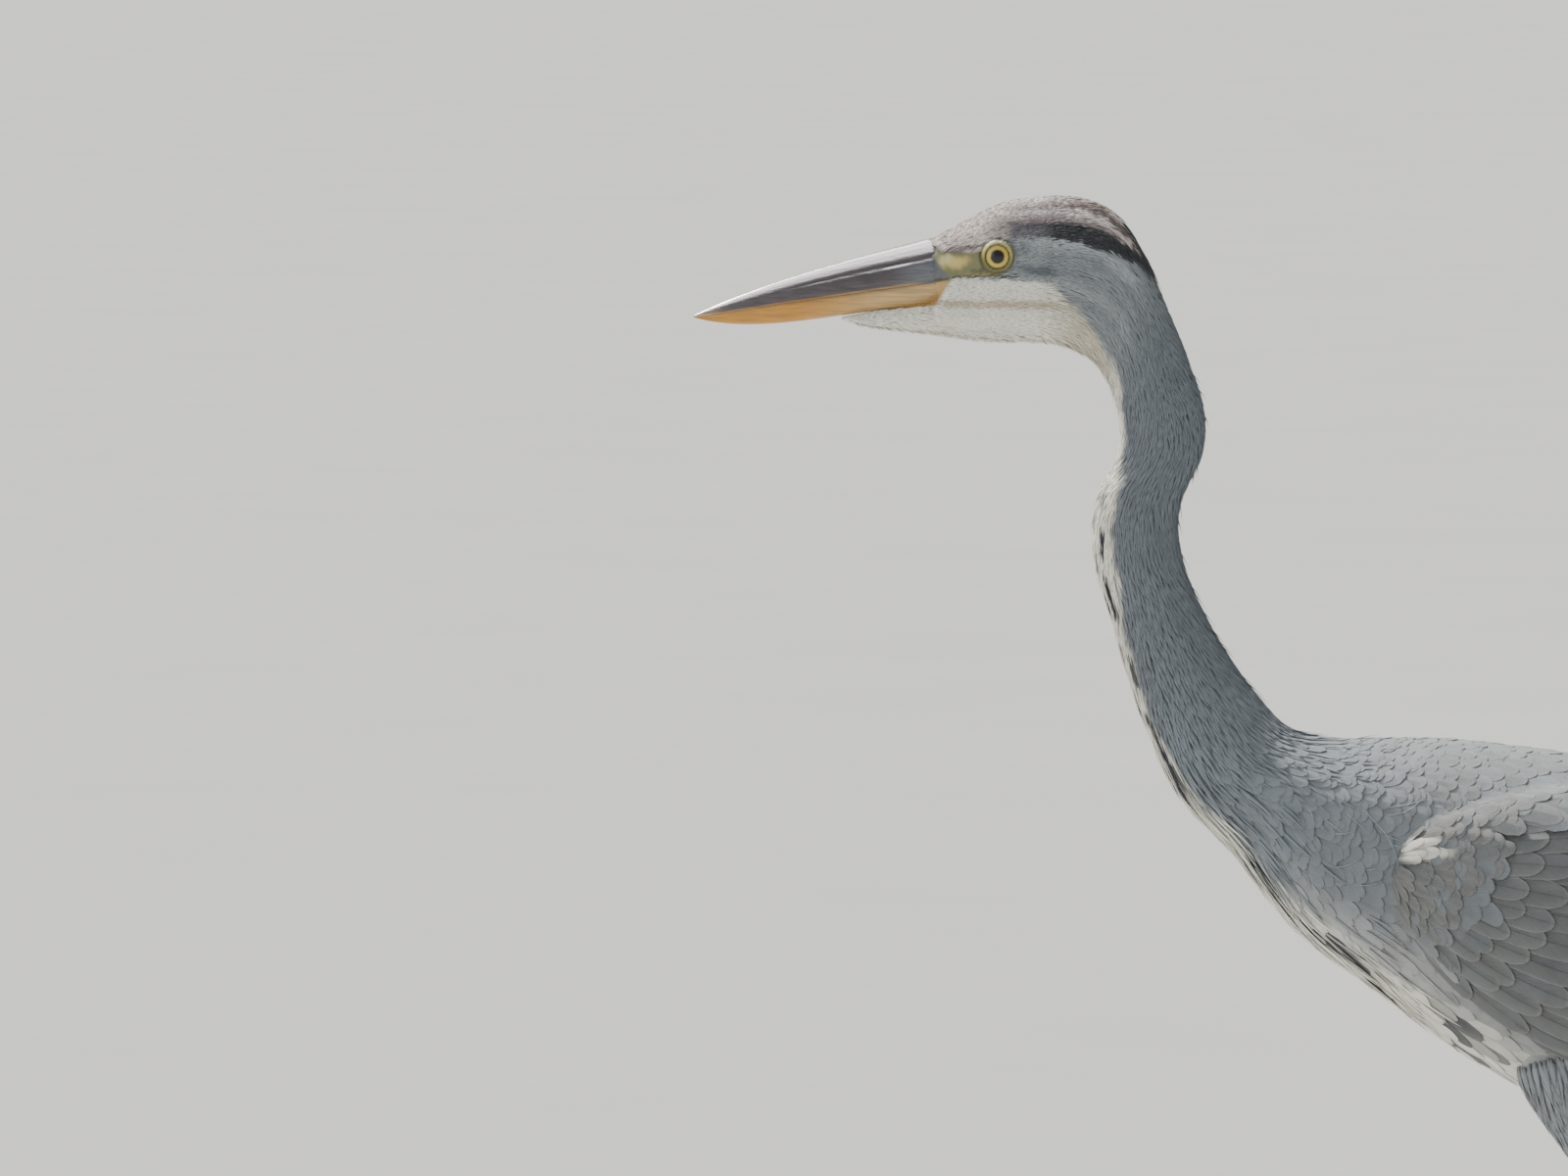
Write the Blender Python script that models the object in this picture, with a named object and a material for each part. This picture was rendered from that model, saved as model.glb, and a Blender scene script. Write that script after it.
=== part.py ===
"""A young grey heron at life size, standing still with its neck half drawn up.

Metres, +Z up. The bill points along -X, the bird's left side faces -Y, and the feet stand on z = 0.
Head, neck, trunk and the folded wings are lengths of one smooth body surface, parted by thin cuts.
"""

import math

import bmesh
import bpy
import numpy as np
from mathutils import Vector

GAP = 0.0003
TRUNK_CLEARANCE = 0.00036
BILL_CLEARANCE = 0.0004
WING_CUT = 0.0004
CREASE = 50.0
SIDES = {"left": -1, "right": 1}

# The body surface, from the face to the rump. Each station is an oval section:
# name, centre x, centre z, lean of the section in degrees (its back edge towards +X),
# half depth, half width, and how much narrower it is at the back edge than at the front edge.
BODY = (
    ("face", -0.2813, 0.6574, 0.0, 0.0224, 0.0108, 0.10),
    ("lore", -0.2681, 0.6604, 3.0, 0.0271, 0.0132, 0.10),
    ("eye", -0.2511, 0.6640, 4.1, 0.0326, 0.0158, 0.08),
    ("temple", -0.2337, 0.6655, 5.8, 0.0342, 0.0178, 0.06),
    ("crown", -0.2167, 0.6647, 8.4, 0.0350, 0.0186, 0.04),
    ("occiput", -0.2013, 0.6587, 14.1, 0.0343, 0.0182, 0.02),
    ("nape", -0.1909, 0.6468, 23.0, 0.0290, 0.0174, 0.0),
    ("throat", -0.1825, 0.6282, 38.0, 0.0225, 0.0165, 0.0),
    ("upper_neck", -0.1760, 0.6098, 56.1, 0.0204, 0.0160, 0.0),
    ("upper_bend", -0.1718, 0.5917, 74.0, 0.0208, 0.0160, 0.0),
    ("bend_back", -0.1734, 0.5754, 86.7, 0.0205, 0.0162, 0.0),
    ("mid_neck", -0.1823, 0.5578, 92.0, 0.0205, 0.0165, 0.0),
    ("lower_bend", -0.1846, 0.5406, 87.0, 0.0205, 0.0170, 0.0),
    ("foreneck", -0.1816, 0.5213, 83.0, 0.0209, 0.0176, 0.0),
    ("lower_neck", -0.1744, 0.5015, 81.5, 0.0216, 0.0188, 0.0),
    ("neck_flare", -0.1655, 0.4796, 77.3, 0.0241, 0.0212, 0.0),
    ("neck_base", -0.1539, 0.4564, 71.0, 0.0271, 0.0252, 0.0),
    ("shoulders", -0.1372, 0.4313, 57.0, 0.0304, 0.0310, -0.02),
    ("fore_breast", -0.1135, 0.4148, 39.7, 0.0360, 0.0388, -0.04),
    ("breast", -0.0860, 0.3959, 23.0, 0.0505, 0.0472, -0.06),
    ("wrists", -0.0535, 0.3820, 14.0, 0.0620, 0.0540, -0.08),
    ("keel", -0.0174, 0.3653, 8.5, 0.0744, 0.0590, -0.10),
    ("belly", 0.0232, 0.3511, 5.0, 0.0828, 0.0610, -0.10),
    ("thighs", 0.0686, 0.3413, 2.4, 0.0830, 0.0590, -0.10),
    ("flank", 0.1139, 0.3381, 0.0, 0.0744, 0.0530, -0.08),
    ("vent", 0.1581, 0.3385, -1.0, 0.0615, 0.0445, -0.06),
    ("rump", 0.1965, 0.3375, -0.5, 0.0482, 0.0360, -0.03),
    ("tail_root", 0.2279, 0.3358, 0.0, 0.0370, 0.0300, 0.0),
    # Past the rump only the folded wings follow this surface, like a roof over the tail.
    ("over_tail", 0.2678, 0.3318, 0.0, 0.0275, 0.0270, 0.0),
    ("wing_end", 0.3143, 0.3276, 0.0, 0.0192, 0.0235, 0.0),
    ("primaries", 0.3606, 0.3240, 0.0, 0.0118, 0.0170, 0.0),
    ("wing_point", 0.3860, 0.3224, 0.0, 0.0055, 0.0080, 0.0),
)
BODY_ROWS = np.array([row[1:] for row in BODY])

# Lengths of the body surface that are solids: name, first and last station, rings, points in a ring
LENGTHS = (
    ("head", 0.0, 6.4, 14, 20),
    ("neck_upper", 6.4, 10.3, 10, 20),
    ("neck_middle", 10.3, 13.8, 9, 20),
    ("neck_lower", 13.8, 17.3, 9, 20),
    ("trunk", 17.3, 27.0, 21, 24),
)

# Bill, measured along the line where the mandibles meet
BILL_TIP = (-0.3939, 0.6428)
BILL_BASE = (BODY[0][1] - GAP, 0.6591)
UPPER_BILL_DEPTH = 0.0203
LOWER_BILL_DEPTH = 0.0096
BILL_HALF_WIDTH = 0.0094
BILL_BLUNTNESS = 0.0004
BILL_RINGS = 13
BILL_ARCH = 9

# Feathered chin, which runs forward under the lower mandible
CHIN_TIP = (-0.3250, 0.6424)
CHIN_DEPTH = 0.0198
CHIN_HALF_WIDTH = 0.0090
CHIN_RISE = 0.0120
CHIN_BLUNTNESS = 0.0008
CHIN_RINGS = 6

# Eyes: a lens-shaped ball each side of the head
EYE_CENTRE = (-0.2495, 0.0117, 0.6718)
EYE_RADIUS = 0.0080
EYE_HALF_THICKNESS = 0.0055

# Folded wings: station, upper and lower edge in degrees round from the back, thickness
WING = (
    (19.70, 80.0, 98.0, 0.0030),
    (20.05, 66.0, 112.0, 0.0065),
    (20.70, 53.0, 121.0, 0.0095),
    (21.60, 40.0, 126.0, 0.0105),
    (22.60, 29.0, 128.0, 0.0100),
    (23.60, 20.0, 127.0, 0.0090),
    (24.60, 13.0, 125.0, 0.0078),
    (25.60, 8.0, 122.0, 0.0066),
    (26.60, 5.0, 118.0, 0.0055),
    (27.60, 4.0, 113.0, 0.0045),
    (28.60, 4.0, 107.0, 0.0036),
    (29.60, 5.0, 102.0, 0.0028),
    (30.50, 9.0, 98.0, 0.0022),
    (31.00, 20.0, 94.0, 0.0018),
)
WING_SINK = 0.0020
WING_RIM = 0.35
WING_PARTS = (("wing", 0.0, 0.72, 16), ("wing_tip", 0.72, 1.0, 7))
WING_ARC = 9

# Tail: x, z, half width, half depth of its sections
TAIL = (
    (0.2284, 0.3342, 0.0268, 0.0335),
    (0.2480, 0.3292, 0.0235, 0.0255),
    (0.2700, 0.3238, 0.0205, 0.0170),
    (0.3000, 0.3202, 0.0190, 0.0092),
    (0.3350, 0.3184, 0.0235, 0.0042),
    (0.3570, 0.3180, 0.0258, 0.0026),
    (0.3700, 0.3178, 0.0205, 0.0020),
)

# Legs. x and y are measured from the point on the floor under the hips.
STANCE_X = 0.0430
HIP_HALF_SPREAD = 0.0230
FOOT_HALF_SPREAD = 0.0360
STRIDE = {"left": -0.0160, "right": 0.0140}
THIGH_TOP = 0.3120
THIGH_END = 0.2330
THIGH_SHAPE = ((0.0, 0.0250), (0.3, 0.0235), (0.55, 0.0180), (0.8, 0.0110), (1.0, 0.0064))
THIGH_FLATNESS = 0.8
ANKLE_HEIGHT = 0.1720
FOOT_HEIGHT = 0.0095
ANKLE_BACK = 0.0250
KNEE_FORWARD = 0.0330
SHANK_RADIUS = 0.0046
TARSUS_RADIUS = 0.0042
ANKLE_RADIUS = 0.0078
HUB_RADIUS = 0.0098

# Toes: name, length, turn from straight ahead in degrees (outwards), radius at the root, pads, claw length
TOES = (
    ("inner", 0.0570, -28.0, 0.0035, 2, 0.0105),
    ("middle", 0.0830, 2.0, 0.0037, 3, 0.0115),
    ("outer", 0.0670, 32.0, 0.0035, 4, 0.0095),
    ("hind", 0.0420, 188.0, 0.0036, 1, 0.0165),
)
TOE_TAPER = 0.62
TOE_WAIST = 0.30
TOE_SINK = 0.25
TOE_WAIST_LENGTH = 0.010
TOE_ROOT_LIFT = 0.0032
PAD_SWELL = 0.10
CLAW_LIFT = 0.0006
CLAW_ARCH = 0.0020

FEATHER_GREY = (0.30, 0.33, 0.36)
FACE_GREY = (0.42, 0.44, 0.45)
WING_GREY = (0.24, 0.26, 0.29)
TAIL_GREY = (0.26, 0.28, 0.31)
BILL_DARK = (0.13, 0.11, 0.11)
BILL_ORANGE = (0.62, 0.36, 0.10)
IRIS_YELLOW = (0.72, 0.58, 0.16)
LEG_GREEN = (0.22, 0.21, 0.13)
CLAW_BLACK = (0.05, 0.045, 0.04)


def fresh_scene():
    """Empties the scene and makes one collection for the bird and one for its cutters."""
    for old in list(bpy.data.objects):
        bpy.data.objects.remove(old)
    groups = []
    for name in ("heron", "cutters"):
        group = bpy.data.collections.new(name)
        bpy.context.scene.collection.children.link(group)
        groups.append(group)
    return groups


HERON, CUTTERS = fresh_scene()


def material(name, colour, roughness):
    """A plain Principled material, made once for each name."""
    made = bpy.data.materials.get(name)
    if made is None:
        made = bpy.data.materials.new(name)
        made.use_nodes = True
        shader = made.node_tree.nodes["Principled BSDF"]
        shader.inputs["Base Color"].default_value = (*colour, 1.0)
        shader.inputs["Roughness"].default_value = roughness
    return made


def add_object(name, bm, finish=None, cutter=False):
    """Turns a bmesh into a smooth-shaded object in the bird's or the cutters' collection."""
    bm.normal_update()
    bmesh.ops.recalc_face_normals(bm, faces=bm.faces[:])
    mesh = bpy.data.meshes.new(name)
    bm.to_mesh(mesh)
    bm.free()
    mesh.shade_smooth()
    mesh.set_sharp_from_angle(angle=math.radians(CREASE))
    made = bpy.data.objects.new(name, mesh)
    (CUTTERS if cutter else HERON).objects.link(made)
    if cutter:
        made.hide_render = True
        made.display_type = "WIRE"
    if finish is not None:
        mesh.materials.append(finish)
    return made


def loft(rings):
    """A closed bmesh through rings of as many points each, with a flat cap at both ends."""
    bm = bmesh.new()
    rows = [[bm.verts.new(point) for point in ring] for ring in rings]
    count = len(rows[0])
    for row, after in zip(rows, rows[1:]):
        for i in range(count):
            j = (i + 1) % count
            bm.faces.new((row[i], row[j], after[j], after[i]))
    bm.faces.new(rows[0])
    bm.faces.new(rows[-1])
    return bm


def blend(rows, at):
    """The row at a fractional index, on a smooth curve through all rows (Catmull-Rom)."""
    last = len(rows) - 1
    at = min(max(at, 0.0), last)
    i = min(int(at), last - 1)
    t = at - i
    before, here, there = rows[max(i - 1, 0)], rows[i], rows[i + 1]
    after = rows[min(i + 2, last)]
    return 0.5 * (
        2 * here
        + (there - before) * t
        + (2 * before - 5 * here + 4 * there - after) * t**2
        + (3 * here - 3 * there + after - before) * t**3
    )


def section(at):
    """Centre, back-pointing axis, half depth, half width and narrowing of the body at a station."""
    x, z, lean, depth, width, narrowing = blend(BODY_ROWS, at)
    up = Vector((math.sin(math.radians(lean)), 0, math.cos(math.radians(lean))))
    return Vector((x, 0, z)), up, depth, width, narrowing


def body_point(at, angle, out=0.0):
    """A point of the body surface: angle 0 is the midline of the back, pi that of the breast."""
    centre, up, depth, width, narrowing = section(at)
    across = (width * (1 - narrowing * math.cos(angle)) + out) * math.sin(angle)
    return centre + up * ((depth + out) * math.cos(angle)) + Vector((0, across, 0))


def body_ring(at, count, shift=0.0):
    """A ring of the body surface, moved along the body by shift."""
    along = (section(at + 0.02)[0] - section(at - 0.02)[0]).normalized() * shift
    turns = [2 * math.pi * i / count for i in range(count)]
    return [body_point(at, turn) + along for turn in turns]


def body_length(name, start, end, rings, count, colour):
    """One length of the body, kept half a gap clear of its neighbours."""
    stops = np.linspace(start, end, rings)
    shifts = [GAP / 2] + [0] * (rings - 2) + [-GAP / 2]
    bm = loft([body_ring(at, count, shift) for at, shift in zip(stops, shifts)])
    return add_object(name, bm, material("feathers_" + name, colour, 0.85))


def swollen(source, amount):
    """A cutter in the shape of another solid, grown by a small amount so that a gap is left."""
    bm = bmesh.new()
    bm.from_mesh(source.data)
    bm.normal_update()
    for vert in bm.verts:
        vert.co += vert.normal * amount
    return add_object(source.name + "_clearance", bm, cutter=True)


def combine(target, other, operation):
    """Joins a solid with another or cuts it, with a modifier that stays on the object."""
    change = target.modifiers.new(operation.lower() + "_" + other.name, "BOOLEAN")
    change.operation = operation
    change.object = other
    change.solver = "EXACT"


def bill_line(t):
    """A point on the line between the mandibles: t is 0 at the tip and 1 at the face."""
    x = BILL_TIP[0] + (BILL_BASE[0] - BILL_TIP[0]) * t
    return x, BILL_TIP[1] + (BILL_BASE[1] - BILL_TIP[1]) * t


def bill_ring(t, upper):
    """One section of a mandible: flat where the mandibles meet, arched on the other side."""
    x, z = bill_line(t)
    width = BILL_BLUNTNESS + (BILL_HALF_WIDTH - BILL_BLUNTNESS) * t**0.72
    if upper:
        height, squareness, side = UPPER_BILL_DEPTH * (0.5 * t + 0.5 * (1 - (1 - t) ** 3)), 0.86, 1
    else:
        height, squareness, side = -LOWER_BILL_DEPTH * (1 - (1 - t) ** 7 - 0.13 * t**3), 1.0, -1
    height += side * BILL_BLUNTNESS
    points = []
    for i in range(BILL_ARCH):
        turn = math.pi * i / (BILL_ARCH - 1)
        y = math.copysign(abs(math.cos(turn)) ** (1 / squareness), math.cos(turn)) * width
        points.append((x, y, z + side * GAP / 2 + height * math.sin(turn) ** (1 / squareness)))
    return points


def make_bill():
    """Both mandibles, dark above and orange below."""
    stops = [(i / (BILL_RINGS - 1)) ** 1.35 for i in range(BILL_RINGS)]
    dark = material("bill_dark", BILL_DARK, 0.35)
    orange = material("bill_orange", BILL_ORANGE, 0.35)
    upper = add_object("bill_upper", loft([bill_ring(t, True) for t in stops]), dark)
    lower = add_object("bill_lower", loft([bill_ring(t, False) for t in stops]), orange)
    return upper, lower


def make_chin():
    """The wedge of throat feathers under the lower mandible, joined to the head."""
    inside_head = BODY[1][1]
    rings = []
    for i in range(CHIN_RINGS):
        t = i / (CHIN_RINGS - 1)
        x = CHIN_TIP[0] + (inside_head - CHIN_TIP[0]) * t
        top = CHIN_TIP[1] + CHIN_RISE * t
        depth = CHIN_BLUNTNESS + CHIN_DEPTH * t**0.85
        width = CHIN_BLUNTNESS + CHIN_HALF_WIDTH * t**0.6
        turns = [2 * math.pi * k / 12 for k in range(12)]
        rings.append(
            [(x, width * math.sin(a), top - depth / 2 * (1 - math.cos(a))) for a in turns]
        )
    return add_object("chin_feathers", loft(rings), cutter=True)


def eye_ball(name, side, grow, finish=None):
    """A lens-shaped eye, or its socket when grown."""
    bm = bmesh.new()
    bmesh.ops.create_uvsphere(bm, u_segments=14, v_segments=9, radius=1.0)
    scale = Vector((EYE_RADIUS + grow, EYE_RADIUS + grow, EYE_HALF_THICKNESS + grow))
    place = Vector((EYE_CENTRE[0], side * EYE_CENTRE[1], EYE_CENTRE[2]))
    for vert in bm.verts:
        # The ball's pole looks sideways, out of the head.
        local = Vector(vert.co[i] * scale[i] for i in range(3))
        vert.co = place + Vector((local.x, side * local.z, local.y))
    return add_object(name, bm, finish, cutter=finish is None)


def make_head(lower_bill):
    """The feathered head with its chin, eye sockets and eyes."""
    head = body_length(*LENGTHS[0], FACE_GREY)
    combine(head, make_chin(), "UNION")
    combine(head, swollen(lower_bill, BILL_CLEARANCE), "DIFFERENCE")
    iris = material("iris", IRIS_YELLOW, 0.1)
    for word, side in SIDES.items():
        eye_ball("eye_" + word, side, 0.0, iris)
        combine(head, eye_ball("socket_" + word, side, GAP), "DIFFERENCE")


def wing_row(share):
    """Station, edges in radians and thickness at a share of the folded wing's length."""
    at, top, bottom, thickness = blend(np.array(WING), share * (len(WING) - 1))
    return at, math.radians(top), math.radians(bottom), thickness


def wing_ring(share, side):
    """One closed section of a folded wing: its outer face, then back along its inner face."""
    at, top, bottom, thickness = wing_row(share)
    points = []
    for i in range(WING_ARC):
        v = i / (WING_ARC - 1)
        # Thickest a little above the middle, and a rounded rim at both edges.
        bulge = WING_RIM + (1 - WING_RIM) * math.sin(math.pi * v**0.85) ** 0.6
        points.append(body_point(at, side * (top + (bottom - top) * v), thickness * bulge))
    for i in reversed(range(0, WING_ARC, 2)):
        v = i / (WING_ARC - 1)
        points.append(body_point(at, side * (top + (bottom - top) * v), -WING_SINK))
    return points


def make_wings(trunk_clearance):
    """Both folded wings, each parted into the wing and the tip of its longest feathers."""
    grey = material("wing_feathers", WING_GREY, 0.8)
    for word, side in SIDES.items():
        for part, start, end, rings in WING_PARTS:
            start_share = start + (WING_CUT if start > 0 else 0)
            end_share = end - (WING_CUT if end < 1 else 0)
            stops = np.linspace(start_share, end_share, rings)
            bm = loft([wing_ring(share, side) for share in stops])
            wing = add_object(f"{part}_{word}", bm, grey)
            if part == "wing":
                combine(wing, trunk_clearance, "DIFFERENCE")


def oval_ring(centre, half_width, half_depth, count):
    """An upright oval section across the body's midline."""
    turns = [2 * math.pi * i / count for i in range(count)]
    return [
        (centre[0], half_width * math.sin(turn), centre[1] + half_depth * math.cos(turn))
        for turn in turns
    ]


def make_tail():
    """The short tail, a flat fan under the wing tips."""
    rows = np.array(TAIL)
    stops = np.linspace(0, len(TAIL) - 1, 9)
    rings = []
    for stop in stops:
        x, z, width, depth = blend(rows, stop)
        rings.append(oval_ring((x, z), width, depth, 16))
    return add_object("tail", loft(rings), material("tail_feathers", TAIL_GREY, 0.8))


def limb_rings(points, radii, count, flatten=1.0):
    """Round sections along a path, each square to it. flatten scales them across the bird."""
    rings = []
    for i, point in enumerate(points):
        before, after = points[max(i - 1, 0)], points[min(i + 1, len(points) - 1)]
        along = (after - before).normalized()
        side = Vector((0, 1, 0)) if abs(along.y) < 0.7 else Vector((1, 0, 0))
        across = along.cross(side).normalized()
        side = across.cross(along)
        turns = [2 * math.pi * k / count for k in range(count)]
        rings.append(
            [
                point
                + across * (radii[i] * math.cos(turn))
                + side * (radii[i] * flatten * math.sin(turn))
                for turn in turns
            ]
        )
    return rings


def leg_joints(word):
    """The leg's hip, thigh end, ankle and foot, as points."""
    side, stride = SIDES[word], STRIDE[word]
    foot = Vector((STANCE_X + stride, side * FOOT_HALF_SPREAD, FOOT_HEIGHT))
    ankle = Vector((STANCE_X + ANKLE_BACK + 0.75 * stride, side * FOOT_HALF_SPREAD, ANKLE_HEIGHT))
    hip = Vector((STANCE_X - KNEE_FORWARD, side * HIP_HALF_SPREAD, THIGH_TOP))
    reach = (ankle.z - THIGH_END) / (ankle.z - hip.z)
    return hip, ankle.lerp(hip, reach), ankle, foot


def make_thigh(word, hip, end, trunk_clearance):
    """The feathered thigh, which tapers to the bare leg and is cut to fit the belly."""
    points = [hip.lerp(end, t) for t, _ in THIGH_SHAPE]
    rings = limb_rings(points, [radius for _, radius in THIGH_SHAPE], 14, THIGH_FLATNESS)
    thigh = add_object("thigh_" + word, loft(rings), material("thigh_feathers", FEATHER_GREY, 0.85))
    combine(thigh, trunk_clearance, "DIFFERENCE")


def make_shank(word, end, ankle, skin):
    """The bare lower thigh down to the ankle."""
    along = (ankle - end).normalized()
    start = end + along * GAP
    stop = ankle - along * (ANKLE_RADIUS * 0.9 + GAP)
    steps = [i / 3 for i in range(4)]
    radii = [SHANK_RADIUS * (1 + 0.12 * t * t) for t in steps]
    add_object("shank_" + word, loft(limb_rings([start.lerp(stop, t) for t in steps], radii, 10)), skin)


def make_tarsus(word, end, ankle, foot, skin):
    """The long leg bone with the ankle's knob above it and the hub of the toes below."""
    above = (end - ankle).normalized()
    sole = Vector((foot.x, foot.y, 0.0))
    profile = (
        (ankle + above * ANKLE_RADIUS * 0.9, SHANK_RADIUS * 1.15),
        (ankle + above * ANKLE_RADIUS * 0.45, ANKLE_RADIUS * 0.88),
        (ankle, ANKLE_RADIUS),
        (ankle.lerp(foot, 0.05), ANKLE_RADIUS * 0.86),
        (ankle.lerp(foot, 0.12), TARSUS_RADIUS * 1.25),
        (ankle.lerp(foot, 0.24), TARSUS_RADIUS * 1.03),
        (ankle.lerp(foot, 0.60), TARSUS_RADIUS),
        (ankle.lerp(foot, 0.88), TARSUS_RADIUS * 1.10),
        (ankle.lerp(foot, 0.955), TARSUS_RADIUS * 1.45),
        (foot, HUB_RADIUS * 0.86),
        (foot.lerp(sole, 0.55), HUB_RADIUS),
        (sole, HUB_RADIUS * 0.85),
    )
    rings = limb_rings([point for point, _ in profile], [radius for _, radius in profile], 10, 0.86)
    for ring in rings[-3:]:
        level = sum(point.z for point in ring) / len(ring)
        for point in ring:
            point.z = level
    add_object("tarsus_" + word, loft(rings), skin)


def floor_flat(bm):
    """Cuts a mesh level at the floor, so that it stands on a small flat."""
    cut = bmesh.ops.bisect_plane(
        bm,
        geom=bm.verts[:] + bm.edges[:] + bm.faces[:],
        plane_co=(0, 0, 0),
        plane_no=(0, 0, -1),
        clear_outer=True,
    )
    edges = [item for item in cut["geom_cut"] if isinstance(item, bmesh.types.BMEdge)]
    bmesh.ops.contextual_create(bm, geom=edges)


def make_toe(word, foot, toe, skin, horn):
    """One toe with its pads, standing on a flat, and its claw."""
    name, length, turn, radius, pads, claw_length = toe
    side = SIDES[word]
    heading = math.radians(turn)
    ahead = Vector((-math.cos(heading), side * math.sin(heading), 0))
    rings = 3 + 3 * pads
    points, radii = [], []
    for i in range(rings):
        t = i / (rings - 1)
        swell = 1 - PAD_SWELL * math.cos(2 * math.pi * pads * t)
        waist = 1 - TOE_WAIST * max(0.0, 1 - length * t / TOE_WAIST_LENGTH)
        thick = radius * (1 - (1 - TOE_TAPER) * t) * swell * waist
        root_lift = TOE_ROOT_LIFT * max(0.0, 1 - 5 * t) ** 2
        place = foot + ahead * (HUB_RADIUS + GAP + length * t)
        place.z = thick * (1 - TOE_SINK) + root_lift
        points.append(place)
        radii.append(thick)
    bm = loft(limb_rings(points, radii, 8))
    floor_flat(bm)
    add_object(f"toe_{name}_{word}", bm, skin)
    claw_points, claw_radii = [], []
    start = points[-1] + ahead * GAP
    for i in range(5):
        t = i / 4
        thick = radii[-1] * 0.72 * (1 - 0.86 * t)
        drop = (start.z - CLAW_LIFT - thick) * t**1.6
        rise = CLAW_ARCH * math.sin(math.pi * t)
        claw_points.append(start + ahead * claw_length * t + Vector((0, 0, rise - drop)))
        claw_radii.append(thick)
    claw = limb_rings(claw_points, claw_radii, 7)
    for point in claw[0]:
        # The root is square to the toe, so that it meets the toe's flat end.
        point += ahead * (start - point).dot(ahead)
        point.z = max(point.z, CLAW_LIFT)
    add_object(f"claw_{name}_{word}", loft(claw), horn)


def make_legs(trunk_clearance):
    """Both legs and feet, the left a little ahead of the right."""
    skin = material("leg_skin", LEG_GREEN, 0.55)
    horn = material("claw_horn", CLAW_BLACK, 0.35)
    for word in SIDES:
        hip, end, ankle, foot = leg_joints(word)
        make_thigh(word, hip, end, trunk_clearance)
        make_shank(word, end, ankle, skin)
        make_tarsus(word, end, ankle, foot, skin)
        for toe in TOES:
            make_toe(word, foot, toe, skin, horn)


def centre_over_origin():
    """Hangs the parts from one empty and slides it so that the bird's box is centred on the origin."""
    bpy.context.view_layer.update()
    graph = bpy.context.evaluated_depsgraph_get()
    reach = []
    for part in HERON.objects:
        box = part.evaluated_get(graph).bound_box
        reach += [part.matrix_world @ Vector(corner) for corner in box]
    low = [min(point[axis] for point in reach) for axis in range(2)]
    high = [max(point[axis] for point in reach) for axis in range(2)]
    stand = bpy.data.objects.new("heron_stance", None)
    HERON.objects.link(stand)
    for part in list(HERON.objects) + list(CUTTERS.objects):
        if part is not stand:
            part.parent = stand
    stand.location = (-(low[0] + high[0]) / 2, -(low[1] + high[1]) / 2, 0)


def build():
    _, lower_bill = make_bill()
    make_head(lower_bill)
    for name, start, end, rings, count in LENGTHS[1:]:
        colour = FEATHER_GREY if name != "trunk" else FACE_GREY
        body_length(name, start, end, rings, count, colour)
    trunk_clearance = swollen(bpy.data.objects["trunk"], TRUNK_CLEARANCE)
    make_tail()
    make_wings(trunk_clearance)
    make_legs(trunk_clearance)
    centre_over_origin()


build()
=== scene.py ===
"""The looks of the young grey heron: skin, plumage, eyes, bill, legs, floor, light and camera.

Feathers are closed tapering vanes that grow out of surfaces. A surface is a function of three
arrays: a place along the bird, a place around it, and the distance out from the coat's outer face.
"""

import math

import bmesh
import bpy
import numpy as np
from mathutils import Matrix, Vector
from mathutils.kdtree import KDTree


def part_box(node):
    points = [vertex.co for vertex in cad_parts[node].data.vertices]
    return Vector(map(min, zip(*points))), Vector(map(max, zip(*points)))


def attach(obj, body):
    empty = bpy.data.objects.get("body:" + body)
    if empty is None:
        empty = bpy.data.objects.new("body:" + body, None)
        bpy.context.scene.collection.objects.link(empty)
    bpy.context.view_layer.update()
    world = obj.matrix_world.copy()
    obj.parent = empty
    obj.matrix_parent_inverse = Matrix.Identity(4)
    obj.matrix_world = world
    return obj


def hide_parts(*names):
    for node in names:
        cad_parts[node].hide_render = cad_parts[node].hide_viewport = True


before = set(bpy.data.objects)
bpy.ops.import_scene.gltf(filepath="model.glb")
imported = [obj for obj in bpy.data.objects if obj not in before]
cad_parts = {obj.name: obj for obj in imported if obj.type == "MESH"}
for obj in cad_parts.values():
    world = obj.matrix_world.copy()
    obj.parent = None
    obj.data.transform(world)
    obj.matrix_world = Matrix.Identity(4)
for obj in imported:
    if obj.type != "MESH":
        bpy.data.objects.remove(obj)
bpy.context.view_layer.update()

rng = np.random.default_rng(7)
TAU = 2 * math.pi
FULL_TURN = (-math.pi, math.pi)
SIDES = {"left": -1, "right": 1}

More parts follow.
